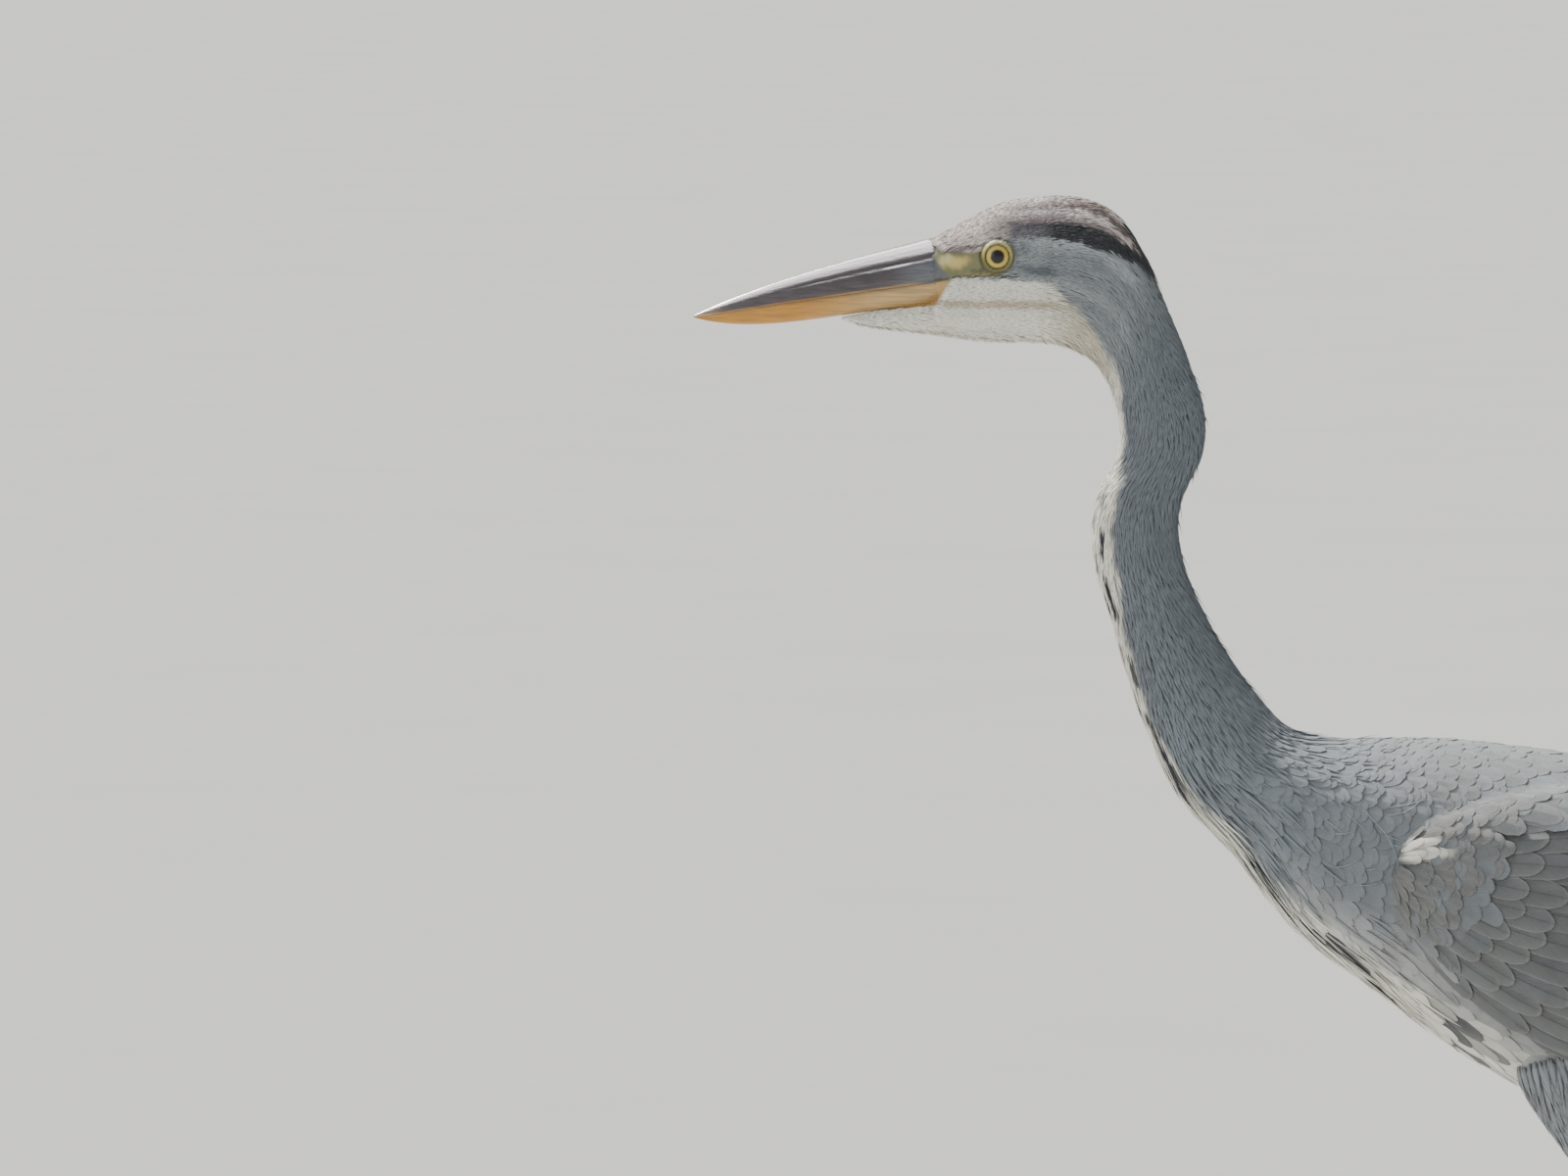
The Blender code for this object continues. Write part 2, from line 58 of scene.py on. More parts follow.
# The body's sections, as in the solids: centre x, centre z, lean in degrees, half depth, half width, and how
# much narrower the section is at its back edge. A station is a fractional row of this table.
BODY = np.array((
    (-0.2813, 0.6574, 0, 0.0224, 0.0108, 0.10),  # 0, at the bill
    (-0.2681, 0.6604, 3, 0.0271, 0.0132, 0.10),
    (-0.2511, 0.6640, 4.1, 0.0326, 0.0158, 0.08),  # 2, the eye
    (-0.2337, 0.6655, 5.8, 0.0342, 0.0178, 0.06),
    (-0.2167, 0.6647, 8.4, 0.0350, 0.0186, 0.04),
    (-0.2013, 0.6587, 14.1, 0.0343, 0.0182, 0.02),
    (-0.1909, 0.6468, 23, 0.0290, 0.0174, 0),  # 6, the nape
    (-0.1825, 0.6282, 38, 0.0225, 0.0165, 0),
    (-0.1760, 0.6098, 56.1, 0.0204, 0.0160, 0),
    (-0.1718, 0.5917, 74, 0.0208, 0.0160, 0),
    (-0.1734, 0.5754, 86.7, 0.0205, 0.0162, 0),
    (-0.1823, 0.5578, 92, 0.0205, 0.0165, 0),  # 11, the middle of the neck
    (-0.1846, 0.5406, 87, 0.0205, 0.0170, 0),
    (-0.1816, 0.5213, 83, 0.0209, 0.0176, 0),
    (-0.1744, 0.5015, 81.5, 0.0216, 0.0188, 0),
    (-0.1655, 0.4796, 77.3, 0.0241, 0.0212, 0),
    (-0.1539, 0.4564, 71, 0.0271, 0.0252, 0),
    (-0.1372, 0.4313, 57, 0.0304, 0.0310, -0.02),  # 17, the neck's base
    (-0.1135, 0.4148, 39.7, 0.0360, 0.0388, -0.04),
    (-0.0860, 0.3959, 23, 0.0505, 0.0472, -0.06),
    (-0.0535, 0.3820, 14, 0.0620, 0.0540, -0.08),  # 20, the wrists
    (-0.0174, 0.3653, 8.5, 0.0744, 0.0590, -0.10),
    (0.0232, 0.3511, 5, 0.0828, 0.0610, -0.10),
    (0.0686, 0.3413, 2.4, 0.0830, 0.0590, -0.10),  # 23, the thighs
    (0.1139, 0.3381, 0, 0.0744, 0.0530, -0.08),
    (0.1581, 0.3385, -1, 0.0615, 0.0445, -0.06),
    (0.1965, 0.3375, -0.5, 0.0482, 0.0360, -0.03),
    (0.2279, 0.3358, 0, 0.0370, 0.0300, 0),  # 27, the tail's root
    (0.2678, 0.3318, 0, 0.0275, 0.0270, 0),
    (0.3143, 0.3276, 0, 0.0192, 0.0235, 0),
    (0.3606, 0.3240, 0, 0.0118, 0.0170, 0),
    (0.3860, 0.3224, 0, 0.0055, 0.0080, 0),
))
NAPE_FLATNESS = 0.0024
TRUNK_END = 27.0

# Folded wings: station, upper and lower edge in degrees round from the back, thickness
WING = np.array((
    (19.70, 80, 98, 0.0030),
    (20.05, 66, 112, 0.0065),
    (20.70, 53, 121, 0.0095),
    (21.60, 40, 126, 0.0105),
    (22.60, 29, 128, 0.0100),
    (23.60, 20, 127, 0.0090),
    (24.60, 13, 125, 0.0078),
    (25.60, 8, 122, 0.0066),
    (26.60, 5, 118, 0.0055),
    (27.60, 4, 113, 0.0045),
    (28.60, 4, 107, 0.0036),
    (29.60, 5, 102, 0.0028),
    (30.50, 9, 98, 0.0022),
    (31.00, 20, 94, 0.0018),
))
WING_RIM = 0.35

# Tail: x, z, half width, half depth of its sections
TAIL = np.array((
    (0.2284, 0.3342, 0.0268, 0.0335),
    (0.2480, 0.3292, 0.0235, 0.0255),
    (0.2700, 0.3238, 0.0205, 0.0170),
    (0.3000, 0.3202, 0.0190, 0.0092),
    (0.3350, 0.3184, 0.0235, 0.0042),
    (0.3570, 0.3180, 0.0258, 0.0026),
    (0.3700, 0.3178, 0.0205, 0.0020),
))

BILL_TIP = (-0.3939, 0.6428)
BILL_BASE = (-0.2780, 0.65962)
BILL_JOIN = -0.2816
UPPER_BILL_DEPTH = 0.0203
LOWER_BILL_DEPTH = 0.0096
BILL_HALF_WIDTH = 0.0094
# The upper mandible's section, steep sides and sloping roof: shares of its depth, shares of its half width
BILL_ROOF = (
    (0, 0.25, 0.40, 0.50, 0.60, 0.70, 0.83, 0.93, 0.98, 1),
    (1, 0.985, 0.955, 0.91, 0.82, 0.69, 0.48, 0.27, 0.13, 0),
)

CHIN_TIP = (-0.3250, 0.6424)
CHIN_DEPTH = 0.0198
CHIN_HALF_WIDTH = 0.0090

EYE_CENTRE = (-0.2503, 0.0117, 0.6718)
EYE_RADIUS = 0.0080
EYE_HALF_THICKNESS = 0.0055
IRIS_RADIUS = 0.0058
PUPIL_RADIUS = 0.0030
LID_RADIUS = 0.0059

STANCE_X = 0.0430
HIP_HALF_SPREAD = 0.0230
FOOT_HALF_SPREAD = 0.0360
STRIDE = {"left": -0.0160, "right": 0.0140}
THIGH_TOP = 0.3120
THIGH_END = 0.2330
ANKLE_HEIGHT = 0.1720
FOOT_HEIGHT = 0.0095
ANKLE_BACK = 0.0250
KNEE_FORWARD = 0.0330
SHANK_RADIUS = 0.0046
TARSUS_RADIUS = 0.0042
ANKLE_RADIUS = 0.0078
HUB_RADIUS = 0.0098
# Toes: name, length, heading in degrees, radius, number of pads, length of the claw
TOES = (
    ("inner", 0.0570, -28, 0.0035, 2, 0.0105),
    ("middle", 0.0830, 2, 0.0037, 3, 0.0115),
    ("outer", 0.0670, 32, 0.0035, 4, 0.0095),
    ("hind", 0.0420, 188, 0.0036, 1, 0.0165),
)
# The thigh's radii at shares of its length
THIGH_SHAPE = ((0, 0.3, 0.55, 0.8, 1), (0.0250, 0.0235, 0.0180, 0.0110, 0.0064))
THIGH_FLATNESS = 0.8

# The solids are centred on their box. Their bill tip tells how far these tables are moved with them.
SHIFT = np.array((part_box("bill_upper")[0][0] - BILL_TIP[0], 0, 0))


# ---------------------------------------------------------------- surfaces


def blend(rows, at):
    """Rows of a table at fractional indices, on a smooth curve through all rows (Catmull-Rom)."""
    last = len(rows) - 1
    at = np.clip(at, 0, last)
    i = np.minimum(at.astype(int), last - 1)
    t = (at - i)[..., None]
    before, here, there, after = (rows[np.clip(i + step, 0, last)] for step in (-1, 0, 1, 2))
    slope, curve = there - before, 2 * before - 5 * here + 4 * there - after
    return 0.5 * (2 * here + slope * t + curve * t**2 + (3 * here - 3 * there + after - before) * t**3)


def smooth(low, high, value):
    """0 below low, 1 above high, and a smooth step between them. low may be above high."""
    t = np.clip((value - low) / (high - low), 0, 1)
    return t * t * (3 - 2 * t)


def near(edge, core, value):
    """1 where value is within core of 0, and 0 beyond edge."""
    return smooth(edge, core, np.abs(value))


def from_back(angle):
    """How far round from the back an angle lies, on either side, from 0 to pi."""
    return np.abs(np.remainder(angle + np.pi, TAU) - np.pi)


def body(station, angle, out):
    """The body's surface. angle is 0 along the back and pi along the breast, + to the right."""
    x, z, lean, depth, width, narrowing = np.moveaxis(blend(BODY, station), -1, 0)
    # The feathers lie flatter over the back of the head
    flat = NAPE_FLATNESS * np.exp(-(((station - 5.8) / 0.9) ** 2))
    out = out - flat * smooth(1.3, 0.4, from_back(angle))
    up = (depth + out) * np.cos(angle)
    across = (width * (1 - narrowing * np.cos(angle)) + out) * np.sin(angle)
    lean = np.radians(lean)
    return np.stack([x + up * np.sin(lean), across, z + up * np.cos(lean)], -1) + SHIFT


def wing_at(share):
    """Station, upper and lower edge in radians, and thickness, at a share of the folded wing's length."""
    station, top, low, thickness = np.moveaxis(blend(WING, share * (len(WING) - 1)), -1, 0)
    return station, np.radians(top), np.radians(low), thickness


def wing_height(share, v):
    """How far the folded wing's face stands off the body, at a share of its length and height."""
    bulge = WING_RIM + (1 - WING_RIM) * np.sin(np.pi * np.clip(v, 0, 1) ** 0.85) ** 0.6
    return wing_at(share)[3] * bulge


def wing_face(side):
    """The outer face of one folded wing: a is the share of its length, b runs from top to bottom."""

    def surface(share, v, out):
        station, top, low, _ = wing_at(share)
        return body(station, side * (top + (low - top) * v), wing_height(share, v) + out)

    return surface


def wing_share(station):
    """The share of the folded wing's length at a station."""
    return np.interp(station, WING[:, 0], np.linspace(0, 1, len(WING)))


def coat_face(station, angle, out):
    """The body's surface where it rises over the upper and front edges of a folded wing."""
    share = wing_share(station)
    _, top, low, _ = wing_at(share)
    v = (np.abs(angle) - top) / (low - top)
    over = smooth(-0.10, 0.05, v) * smooth(19.6, 20.2, station) * smooth(1.08, 0.98, v)
    over = over * np.maximum(smooth(0.75, 0.60, v), smooth(21.4, 20.6, station))
    return body(station, angle, out + over * wing_height(share, np.clip(v, 0.04, 0.96)))


def near_wing(station, angle, margin):
    """1 where the folded wing covers the body, less a margin in radians at its edges."""
    _, top, low, _ = wing_at(wing_share(station))
    turn = from_back(angle)
    return (turn > top + margin) & (turn < low - margin) & (station > WING[0, 0])


def chin_size(ahead):
    """Depth and half width of the chin feathers, at a share of the way from their tip to the lores."""
    return 0.0008 + CHIN_DEPTH * ahead**0.85, 0.0008 + CHIN_HALF_WIDTH * ahead**0.6


def chin(t, angle, out):
    """The wedge of throat feathers under the lower mandible."""
    ahead = np.clip(t, 0, 1.6)
    x = CHIN_TIP[0] + (BODY[1, 0] - CHIN_TIP[0]) * ahead
    depth, width = chin_size(ahead)
    drop = depth / 2 * (1 - np.cos(angle)) - out * np.cos(angle)
    return np.stack([x, (width + out) * np.sin(angle), CHIN_TIP[1] + 0.012 * ahead - drop], -1) + SHIFT


def leg_joints(word):
    """The leg's hip, thigh end, ankle and foot."""
    side, stride = SIDES[word], STRIDE[word]
    foot = np.array((STANCE_X + stride, side * FOOT_HALF_SPREAD, FOOT_HEIGHT))
    ankle = np.array((STANCE_X + ANKLE_BACK + 0.75 * stride, side * FOOT_HALF_SPREAD, ANKLE_HEIGHT))
    hip = np.array((STANCE_X - KNEE_FORWARD, side * HIP_HALF_SPREAD, THIGH_TOP))
    reach = (ankle[2] - THIGH_END) / (ankle[2] - hip[2])
    return np.array((hip, ankle + (hip - ankle) * reach, ankle, foot)) + SHIFT


def thigh(word):
    """The feathered thigh's surface: a runs down it, b around it."""
    hip, end, _, _ = leg_joints(word)
    along = (end - hip) / np.linalg.norm(end - hip)
    across = np.cross(along, (0, 1, 0))
    across /= np.linalg.norm(across)
    side = THIGH_FLATNESS * np.cross(across, along)

    def surface(t, angle, out):
        radius = np.interp(t, *THIGH_SHAPE) + out
        across_by, side_by = (radius * np.cos(angle))[..., None], (radius * np.sin(angle))[..., None]
        return hip + t[..., None] * (end - hip) + across * across_by + side * side_by

    return surface


def tail_round(row, angle, out):
    """The tail's oval surface: a counts its sections, b runs round from the top."""
    x, z, width, depth = np.moveaxis(blend(TAIL, row), -1, 0)
    return np.stack([x, (width + out) * np.sin(angle), z + (depth + out) * np.cos(angle)], -1) + SHIFT


def bill_line(x):
    """Height of the line on which the mandibles meet."""
    return BILL_TIP[1] + (BILL_BASE[1] - BILL_TIP[1]) * (x - BILL_TIP[0]) / (BILL_BASE[0] - BILL_TIP[0])


def bill_size(x):
    """The share of the bill's length from its tip to x, and its half width there."""
    grown = np.clip((x - BILL_TIP[0]) / (BILL_JOIN - BILL_TIP[0]), 0, 1)
    return grown, 0.0004 + (BILL_HALF_WIDTH - 0.0004) * grown**0.72


def culmen_height(grown, straight):
    """Height of the upper mandible's ridge: partly a straight rise, the rest an arch."""
    return UPPER_BILL_DEPTH * (straight * grown + (1 - straight) * (1 - (1 - grown) ** 3)) + 0.0004


def culmen(ahead, across, out):
    """The top of the upper mandible near the forehead: metres behind the feathers' foremost point."""
    x = -0.2850 + ahead
    turn = np.pi / 2 + across
    y = np.sign(np.cos(turn)) * np.abs(np.cos(turn)) ** 1.16 * (BILL_HALF_WIDTH + out)
    height = (culmen_height(bill_size(x)[0], 0.5) + out) * np.abs(np.sin(turn)) ** 1.16
    return np.stack([x, y, bill_line(x) + height], -1) + SHIFT


def stretch(surface, a, b, step_a, step_b):
    """Metres per unit of a and of b, on a surface."""
    zero = np.zeros_like(a)
    along = surface(a + step_a, b, zero) - surface(a - step_a, b, zero)
    around = surface(a, b + step_b, zero) - surface(a, b - step_b, zero)
    sizes = (np.linalg.norm(way, axis=-1) / (2 * step) for way, step in ((along, step_a), (around, step_b)))
    return [np.maximum(size, 1e-4) for size in sizes]


def arc_length(line):
    """Metres from the start of a line to each of its points."""
    return np.concatenate([[0], np.cumsum(np.linalg.norm(np.diff(line, axis=0), axis=1))])


def tile(surface, a_range, b_range, pitch, spacing, size=lambda a: 1.0, step=(0.01, 0.01), jitter=0.35):
    """Roots in staggered rows across a surface. pitch and spacing are multiples of size, a function of a."""
    a, odd, found = a_range[0], 0, []
    probe = np.linspace(*b_range, 73)
    while a < a_range[1]:
        here = np.full_like(probe, a)
        arc = arc_length(surface(here, probe, 0 * probe))
        gap = size(a) * spacing
        count = max(1, int(round(arc[-1] / gap)))
        places = (np.arange(count) + 0.25 + 0.5 * odd) * arc[-1] / count
        places += rng.uniform(-jitter, jitter, count) * gap
        b = np.interp(np.clip(places, 0, arc[-1]), arc, probe)
        step_a = size(a) * pitch / stretch(surface, here, probe, *step)[0].mean()
        found.append(np.stack([a + rng.uniform(-jitter, jitter, count) * step_a, b], 1))
        a += step_a
        odd = 1 - odd
    a, b = np.concatenate(found).T
    return np.clip(a, *a_range), b


def vary(low, high, a):
    """One random value for each root."""
    return rng.uniform(low, high, len(a))


def sway(spread, a):
    """A random value about zero for each root."""
    return rng.normal(0, spread, len(a))


def body_unwrap(a, b):
    """The body's skin laid flat: stations across, the turn around it upwards."""
    return np.stack([0.03 + 0.94 * a / 31.0, 0.5 + 0.47 * np.remainder(b + np.pi, TAU) / np.pi - 0.47], -1)


def flat_unwrap(u, v, along, around):
    """Another surface laid flat: a runs across the map from u, and b up it from v."""
    return lambda a, b: np.stack([u + a * along, v + b * around], -1)


# ---------------------------------------------------------------- markings

GREY = np.array((0.190, 0.215, 0.240))
NAPE_GREY = np.array((0.135, 0.155, 0.175))
FACE = np.array((0.360, 0.385, 0.395))
BLACK = np.array((0.016, 0.018, 0.024))
BROWN = np.array((0.120, 0.090, 0.088))
STRIPE_BROWN = np.array((0.092, 0.076, 0.092))
WHITE = np.array((0.930, 0.905, 0.790))
CREAM = np.array((0.60, 0.545, 0.42))
BUFF = np.array((0.50, 0.40, 0.26))
# Pinkish cream of the forehead, made paler in part as painted sunlight on the top of the head
PALE_SUNLIT_CROWN = np.array((0.93, 0.81, 0.74))
BACK_GREY = np.array((0.180, 0.190, 0.192))
WING_GREY = np.array((0.160, 0.168, 0.170))
WING_BROWN = np.array((0.23, 0.205, 0.18))
TAIL_GREY = np.array((0.103950, 0.11, 0.118668))
VANE_EDGE = np.array((0.42, 0.40, 0.37))
BREAST_EDGE = np.array((0.42, 0.41, 0.39))
BELLY_WHITE = np.array((0.60, 0.60, 0.57))
LORE = np.array((0.64, 0.49, 0.15))
PALE_LORE = np.array((0.70, 0.65, 0.30))
OLIVE = np.array((0.180, 0.175, 0.068))
LID = np.array((0.64, 0.56, 0.17))
HORN_BLUE = np.array((0.16, 0.165, 0.185))
ORANGE = np.array((0.54, 0.235, 0.010))
PEACH = np.array((0.52, 0.325, 0.120))
TIP_ORANGE = np.array((0.40, 0.24, 0.08))
MANDIBLE = np.array((0.072, 0.056, 0.060))
LEG_GREY = np.array((0.150, 0.145, 0.110))
LEG_GREEN = np.array((0.190, 0.185, 0.115))
CLAW = np.array((0.045, 0.040, 0.036))

# Lines on the head seen from the side, in millimetres. The stripe: x, z, half width
STRIPE = np.array((
    (-244, 683.6, 3.4),
    (-230, 683.8, 3.2),
    (-221.3, 683.8, 3.6),
    (-213.5, 683, 3.8),
    (-205.8, 681.4, 4),
    (-198, 679.2, 4),
    (-190.4, 677.2, 3.4),
    (-184.2, 673.5, 2.8),
    (-178, 666, 2.2),
    (-173, 655, 1.5),
)).T
# The crown's height over the stripe: x, height
CROWN_RISE = (
    (-264, -244, -230, -213.5, -205.8, -198, -190.4, -184.2, -178),
    (10, 14.5, 17, 18.5, 18.3, 15.5, 10, 5.5, 4),
)
# The white of cheek and throat lies below this line: x, z
WHITE_EDGE = (
    (-330, -271.6, -236, -229, -221.3, -213.5, -206.5, -198.5, -193.8, -188),
    (660.4, 660.6, 660, 658, 651, 643.8, 635, 624.5, 616.1, 600),
)
# Share of the way from the stripe to the top of the head, colour over the nape, colour over the eye
# Its palest rows, at the top of the head, are partly painted sunlight on the crown
CROWN_BANDS = np.array((
    (0.18, 0.016, 0.018, 0.024, 0.085, 0.066, 0.080),
    (0.26, 0.120, 0.088, 0.092, 0.230, 0.180, 0.190),
    (0.34, 0.360, 0.290, 0.280, 0.420, 0.350, 0.340),
    (0.42, 0.620, 0.560, 0.540, 0.330, 0.260, 0.262),
    (0.50, 0.840, 0.770, 0.730, 0.660, 0.620, 0.630),
    (0.57, 0.720, 0.620, 0.580, 0.620, 0.560, 0.550),
    (0.64, 0.200, 0.165, 0.165, 0.280, 0.220, 0.225),
    (0.70, 0.085, 0.068, 0.072, 0.320, 0.250, 0.250),
    (0.78, 0.230, 0.150, 0.130, 0.600, 0.520, 0.500),
    (0.86, 0.280, 0.210, 0.190, 0.800, 0.720, 0.690),
    (0.93, 0.740, 0.680, 0.650, 0.900, 0.840, 0.810),
    (1.00, 0.840, 0.790, 0.760, 0.930, 0.880, 0.850),
)).T
# Half width of the foreneck's white, in radians at these stations, and the place of its outer row of dashes
FORENECK = (
    (6, 7.5, 9, 9.6, 10.3, 11, 12, 13, 14, 15, 17, 19, 21),
    (0.80, 0.50, 0.38, 0.52, 0.86, 0.98, 0.98, 0.84, 0.62, 0.52, 0.58, 0.68, 0.80),
)
DASH_ROW = ((9, 11, 12.5, 14, 15, 17, 20), (0.30, 0.62, 0.60, 0.50, 0.46, 0.46, 0.55))
# The lower mandible's bare side ends at this height above the chin feathers: x, z in millimetres
RAMUS_EDGE = ((-324.7, -290.8, -277.5, -270), (643.7, 647.2, 648.2, 648.8))


def mix(colour, other, amount):
    """One colour with some of the other."""
    return colour + (other - colour) * np.asarray(amount)[..., None]


def side_on(points):
    """Where points lie as seen from the side, in the tables' own frame: x and z in millimetres."""
    return (points[..., 0] - SHIFT[0]) * 1000, points[..., 2] * 1000


def from_eye(x, z):
    """Millimetres from the middle of the eye."""
    return np.hypot(x - EYE_CENTRE[0] * 1000, z - EYE_CENTRE[2] * 1000)


def gape_height(x):
    """The line on which the mandibles meet, run on over the face: it rises with the bill, then levels."""
    return np.minimum(661, bill_line(x / 1000) * 1000)


def spot(x, z, middle, size, core, slope=0.0):
    """A soft oval spot: 1 in its core, a share of its size, and 0 beyond its edge."""
    along, up = x - middle[0], z - middle[1] - slope * (x - middle[0])
    return smooth(1, core, np.hypot(along / size[0], up / size[1]))


def streaks(angle, station, count, seed):
    """Irregular streaks along the body, from -1 to 1."""
    wander = 0.5 * np.sin(station * 1.7 + seed) + 0.3 * np.sin(station * 4.1 + 2 * seed)
    return np.sin(angle * count + wander + seed) * np.sin(angle * count * 0.37 + 1.3 * seed)


def crown_colour(x, z, base):
    """Streaks of forehead, crown and stripe, which run back from the bill to the nape."""
    middle, half = np.interp(x, STRIPE[0], STRIPE[1]), np.interp(x, STRIPE[0], STRIPE[2])
    share = (z - middle) / np.interp(x, *CROWN_RISE)
    share = share + 0.026 * np.sin(0.52 * x + 5 * share) + 0.016 * np.sin(1.5 * x + 11 * share)
    tones = np.stack([np.interp(share, CROWN_BANDS[0], tone) for tone in CROWN_BANDS[1:]], -1)
    bands = mix(tones[..., 3:], tones[..., :3], smooth(-230, -207, x))
    # Towards the forehead the bands break up into fine brown marks on pinkish cream
    marks = np.sin(34 * share + 2.6 * np.sin(0.43 * x)) * (0.55 + 0.45 * np.sin(1.3 * x + 13 * share))
    forehead = mix(PALE_SUNLIT_CROWN, BROWN * 1.5, np.clip(1.5 * marks - 0.20, 0, 0.8))
    forward = smooth(-238, -256, x)
    bands = mix(bands, forehead, 0.92 * forward)
    bands = mix(bands, BROWN * 1.2, 0.55 * smooth(0.62, 0.30, share) * smooth(-262, -250, x) * forward)
    above = np.where(x < -248, smooth(672.8, 674.4, z), smooth(0.02, 0.14, share))
    colour = mix(base, bands, above * smooth(-168, -176, x))
    off = z - middle + 0.6 * np.sin(2.3 * x) + 0.4 * np.sin(5.2 * x + 2)
    blotch = 0.84 + 0.16 * np.sin(0.9 * x + 3 * np.sin(2.4 * z))
    brown = near(half + 1.2, half - 1, off) * smooth(-251, -245, x) * blotch
    black = near(half + 0.8, half - 0.9, off) * smooth(-234.5, -226.5, x) * smooth(-168, -174, x)
    return mix(mix(colour, STRIPE_BROWN, 0.95 * brown), BLACK, black * smooth(645, 652, z))


def head_colour(points, station, angle):
    """Markings of the head and the top of the neck."""
    x, z = side_on(points)
    soft = streaks(angle, station, 14, 1)
    colour = mix(FACE, GREY * 0.82, np.clip(0.35 + 0.3 * soft, 0, 1))
    colour = mix(colour, FACE * 1.22, 0.8 * smooth(671.5, 676.5, z) * smooth(-243, -232, x))
    colour = mix(colour, FACE * 1.35, 0.6 * spot(x, z, (-195, 669), (12, 5.5), 0.4, -0.45))
    colour = mix(colour, NAPE_GREY * 0.72, 0.75 * spot(x, z, (-235, 665.2), (11.5, 3.4), 0.4, -0.10))
    # A darker rim round the eye: painted shadow of the lids
    colour = mix(colour, GREY * 0.55, 0.6 * smooth(9.4, 8, from_eye(x, z)))
    colour = crown_colour(x, z, colour)
    brow = near(1.4, 0.4, z - 674.8 - 0.10 * (x + 267)) * smooth(-255.5, -259, x) * smooth(-278, -275, x)
    colour = mix(colour, BROWN * 0.9, 0.8 * brow)
    # Cheek, throat and foreneck white
    buff = near(2.6, 0.9, z - 648.8 - 0.08 * soft) * smooth(-284, -276, x) * smooth(-216, -230, x)
    inner = mix(WHITE * (1 - 0.06 * soft[..., None]), BUFF, 0.75 * buff)
    inner = mix(inner, CREAM, 0.8 * smooth(-236, -214, x))
    softness = np.interp(x, (-240, -215), (0.6, 3.2))
    white = smooth(softness, -softness, z - np.interp(x, *WHITE_EDGE)) * smooth(590, 604, z)
    gape = near(0.7, 0.3, z - 662) * smooth(-241.5, -245, x) * smooth(-284, -280, x)
    return mix(mix(colour, inner, white), OLIVE * 0.35, 0.9 * gape)


def neck_colour(station, angle):
    """Grey neck with a white foreneck that carries broken black lines."""
    turn, front = from_back(angle), np.pi - from_back(angle)
    soft = streaks(angle, station * 1.3, 7, 3)
    colour = mix(GREY, NAPE_GREY, np.clip(0.22 + 0.20 * soft, 0, 1))
    colour = mix(colour, NAPE_GREY, 0.45 * smooth(0.75, 0.10, turn))
    colour = mix(colour, GREY * 1.25, 0.45 * smooth(14, 17.5, station))
    wander = 0.05 * np.sin(station * 3.1) + 0.03 * np.sin(station * 7.7 + angle)
    width = np.interp(station, *FORENECK) + wander
    colour = mix(colour, WHITE * 0.97, smooth(width + 0.14, width - 0.10, front))
    # Black dashes in two broken rows beside the midline
    row = np.interp(station, *DASH_ROW) + 0.05 * np.sin(station * 2.3)
    broken = smooth(-0.55, 0.05, np.sin(station * 4.4 + 0.8 * np.sin(station * 2.1)))
    outer = near(0.12, 0.045, front - row) * broken
    inner = near(0.09, 0.03, front - row * 0.38) * smooth(0.1, 0.5, np.sin(station * 6.1 + 2))
    start = smooth(10.2, 11.2, station) * smooth(22.5, 20, station)
    return mix(colour, BLACK * 1.6, start * np.maximum(outer, inner))


def sunlit_back_paint(turn):
    """Painted sunlight: the back is paler along its midline, where the light from above falls."""
    return (1 + 0.35 * smooth(1.05, 0.55, turn))[..., None]


def trunk_colour(station, angle):
    """Grey back, white belly with dark sides, grey flanks."""
    turn = from_back(angle)
    soft = streaks(angle, station * 1.6, 12, 5)
    # The back's paler midline is painted sunlight
    colour = mix(BACK_GREY, GREY, 0.5 + 0.3 * soft) * sunlit_back_paint(turn)
    colour = mix(colour, BELLY_WHITE, smooth(1.95, 2.35, turn) * (0.85 + 0.15 * soft))
    side = near(0.20, 0.06, turn - 2.35) * smooth(19, 20.5, station) * smooth(25.5, 23.5, station)
    return mix(colour, BLACK * 3, 0.45 * side)


def plumage(points, station, angle):
    """The markings of the whole body, as one function for skin and coat."""
    colour = mix(neck_colour(station, angle), head_colour(points, station, angle), smooth(7.2, 5.6, station))
    # The neck's white front runs on down the breast
    front = smooth(2.35, 2.55, from_back(angle)) * smooth(22, 20.5, station)
    return mix(colour, trunk_colour(station, angle), smooth(17, 20.5, station) * (1 - front))


def bare_skin(x, z):
    """The face's bare skin: 1 where no feathers grow."""
    gape = gape_height(x)
    line = -276.6 - np.where(z > 674, 1.5 * (z - 674), 0.6 * np.clip(674 - z, 0, 6))
    horn = smooth(0.4, -0.4, x - line) * (z > gape)
    blue = smooth(0.4, -0.4, x + 273 + 0.9 * (z - 661.5)) * (z > gape) * (z < 668)
    top = np.interp(x, (-282, -276, -262, -250), (672.5, 673.6, 673.6, 676))
    lore = smooth(0.5, -0.5, z - top) * smooth(-0.4, 0.4, z - 661.6) * (x < -249.5)
    under = smooth(-0.4, 0.4, z - 662.2) * smooth(666.5, 665.5, z) * smooth(-247.5, -250, x)
    ramus = smooth(0.4, -0.4, x + 272.2 + 0.62 * (660.6 - z)) * (z <= gape + 0.2)
    ramus = ramus * (z > np.interp(x, *RAMUS_EDGE))
    return np.maximum.reduce([horn, blue, lore, under, ramus, smooth(8.6, 8.1, from_eye(x, z))])


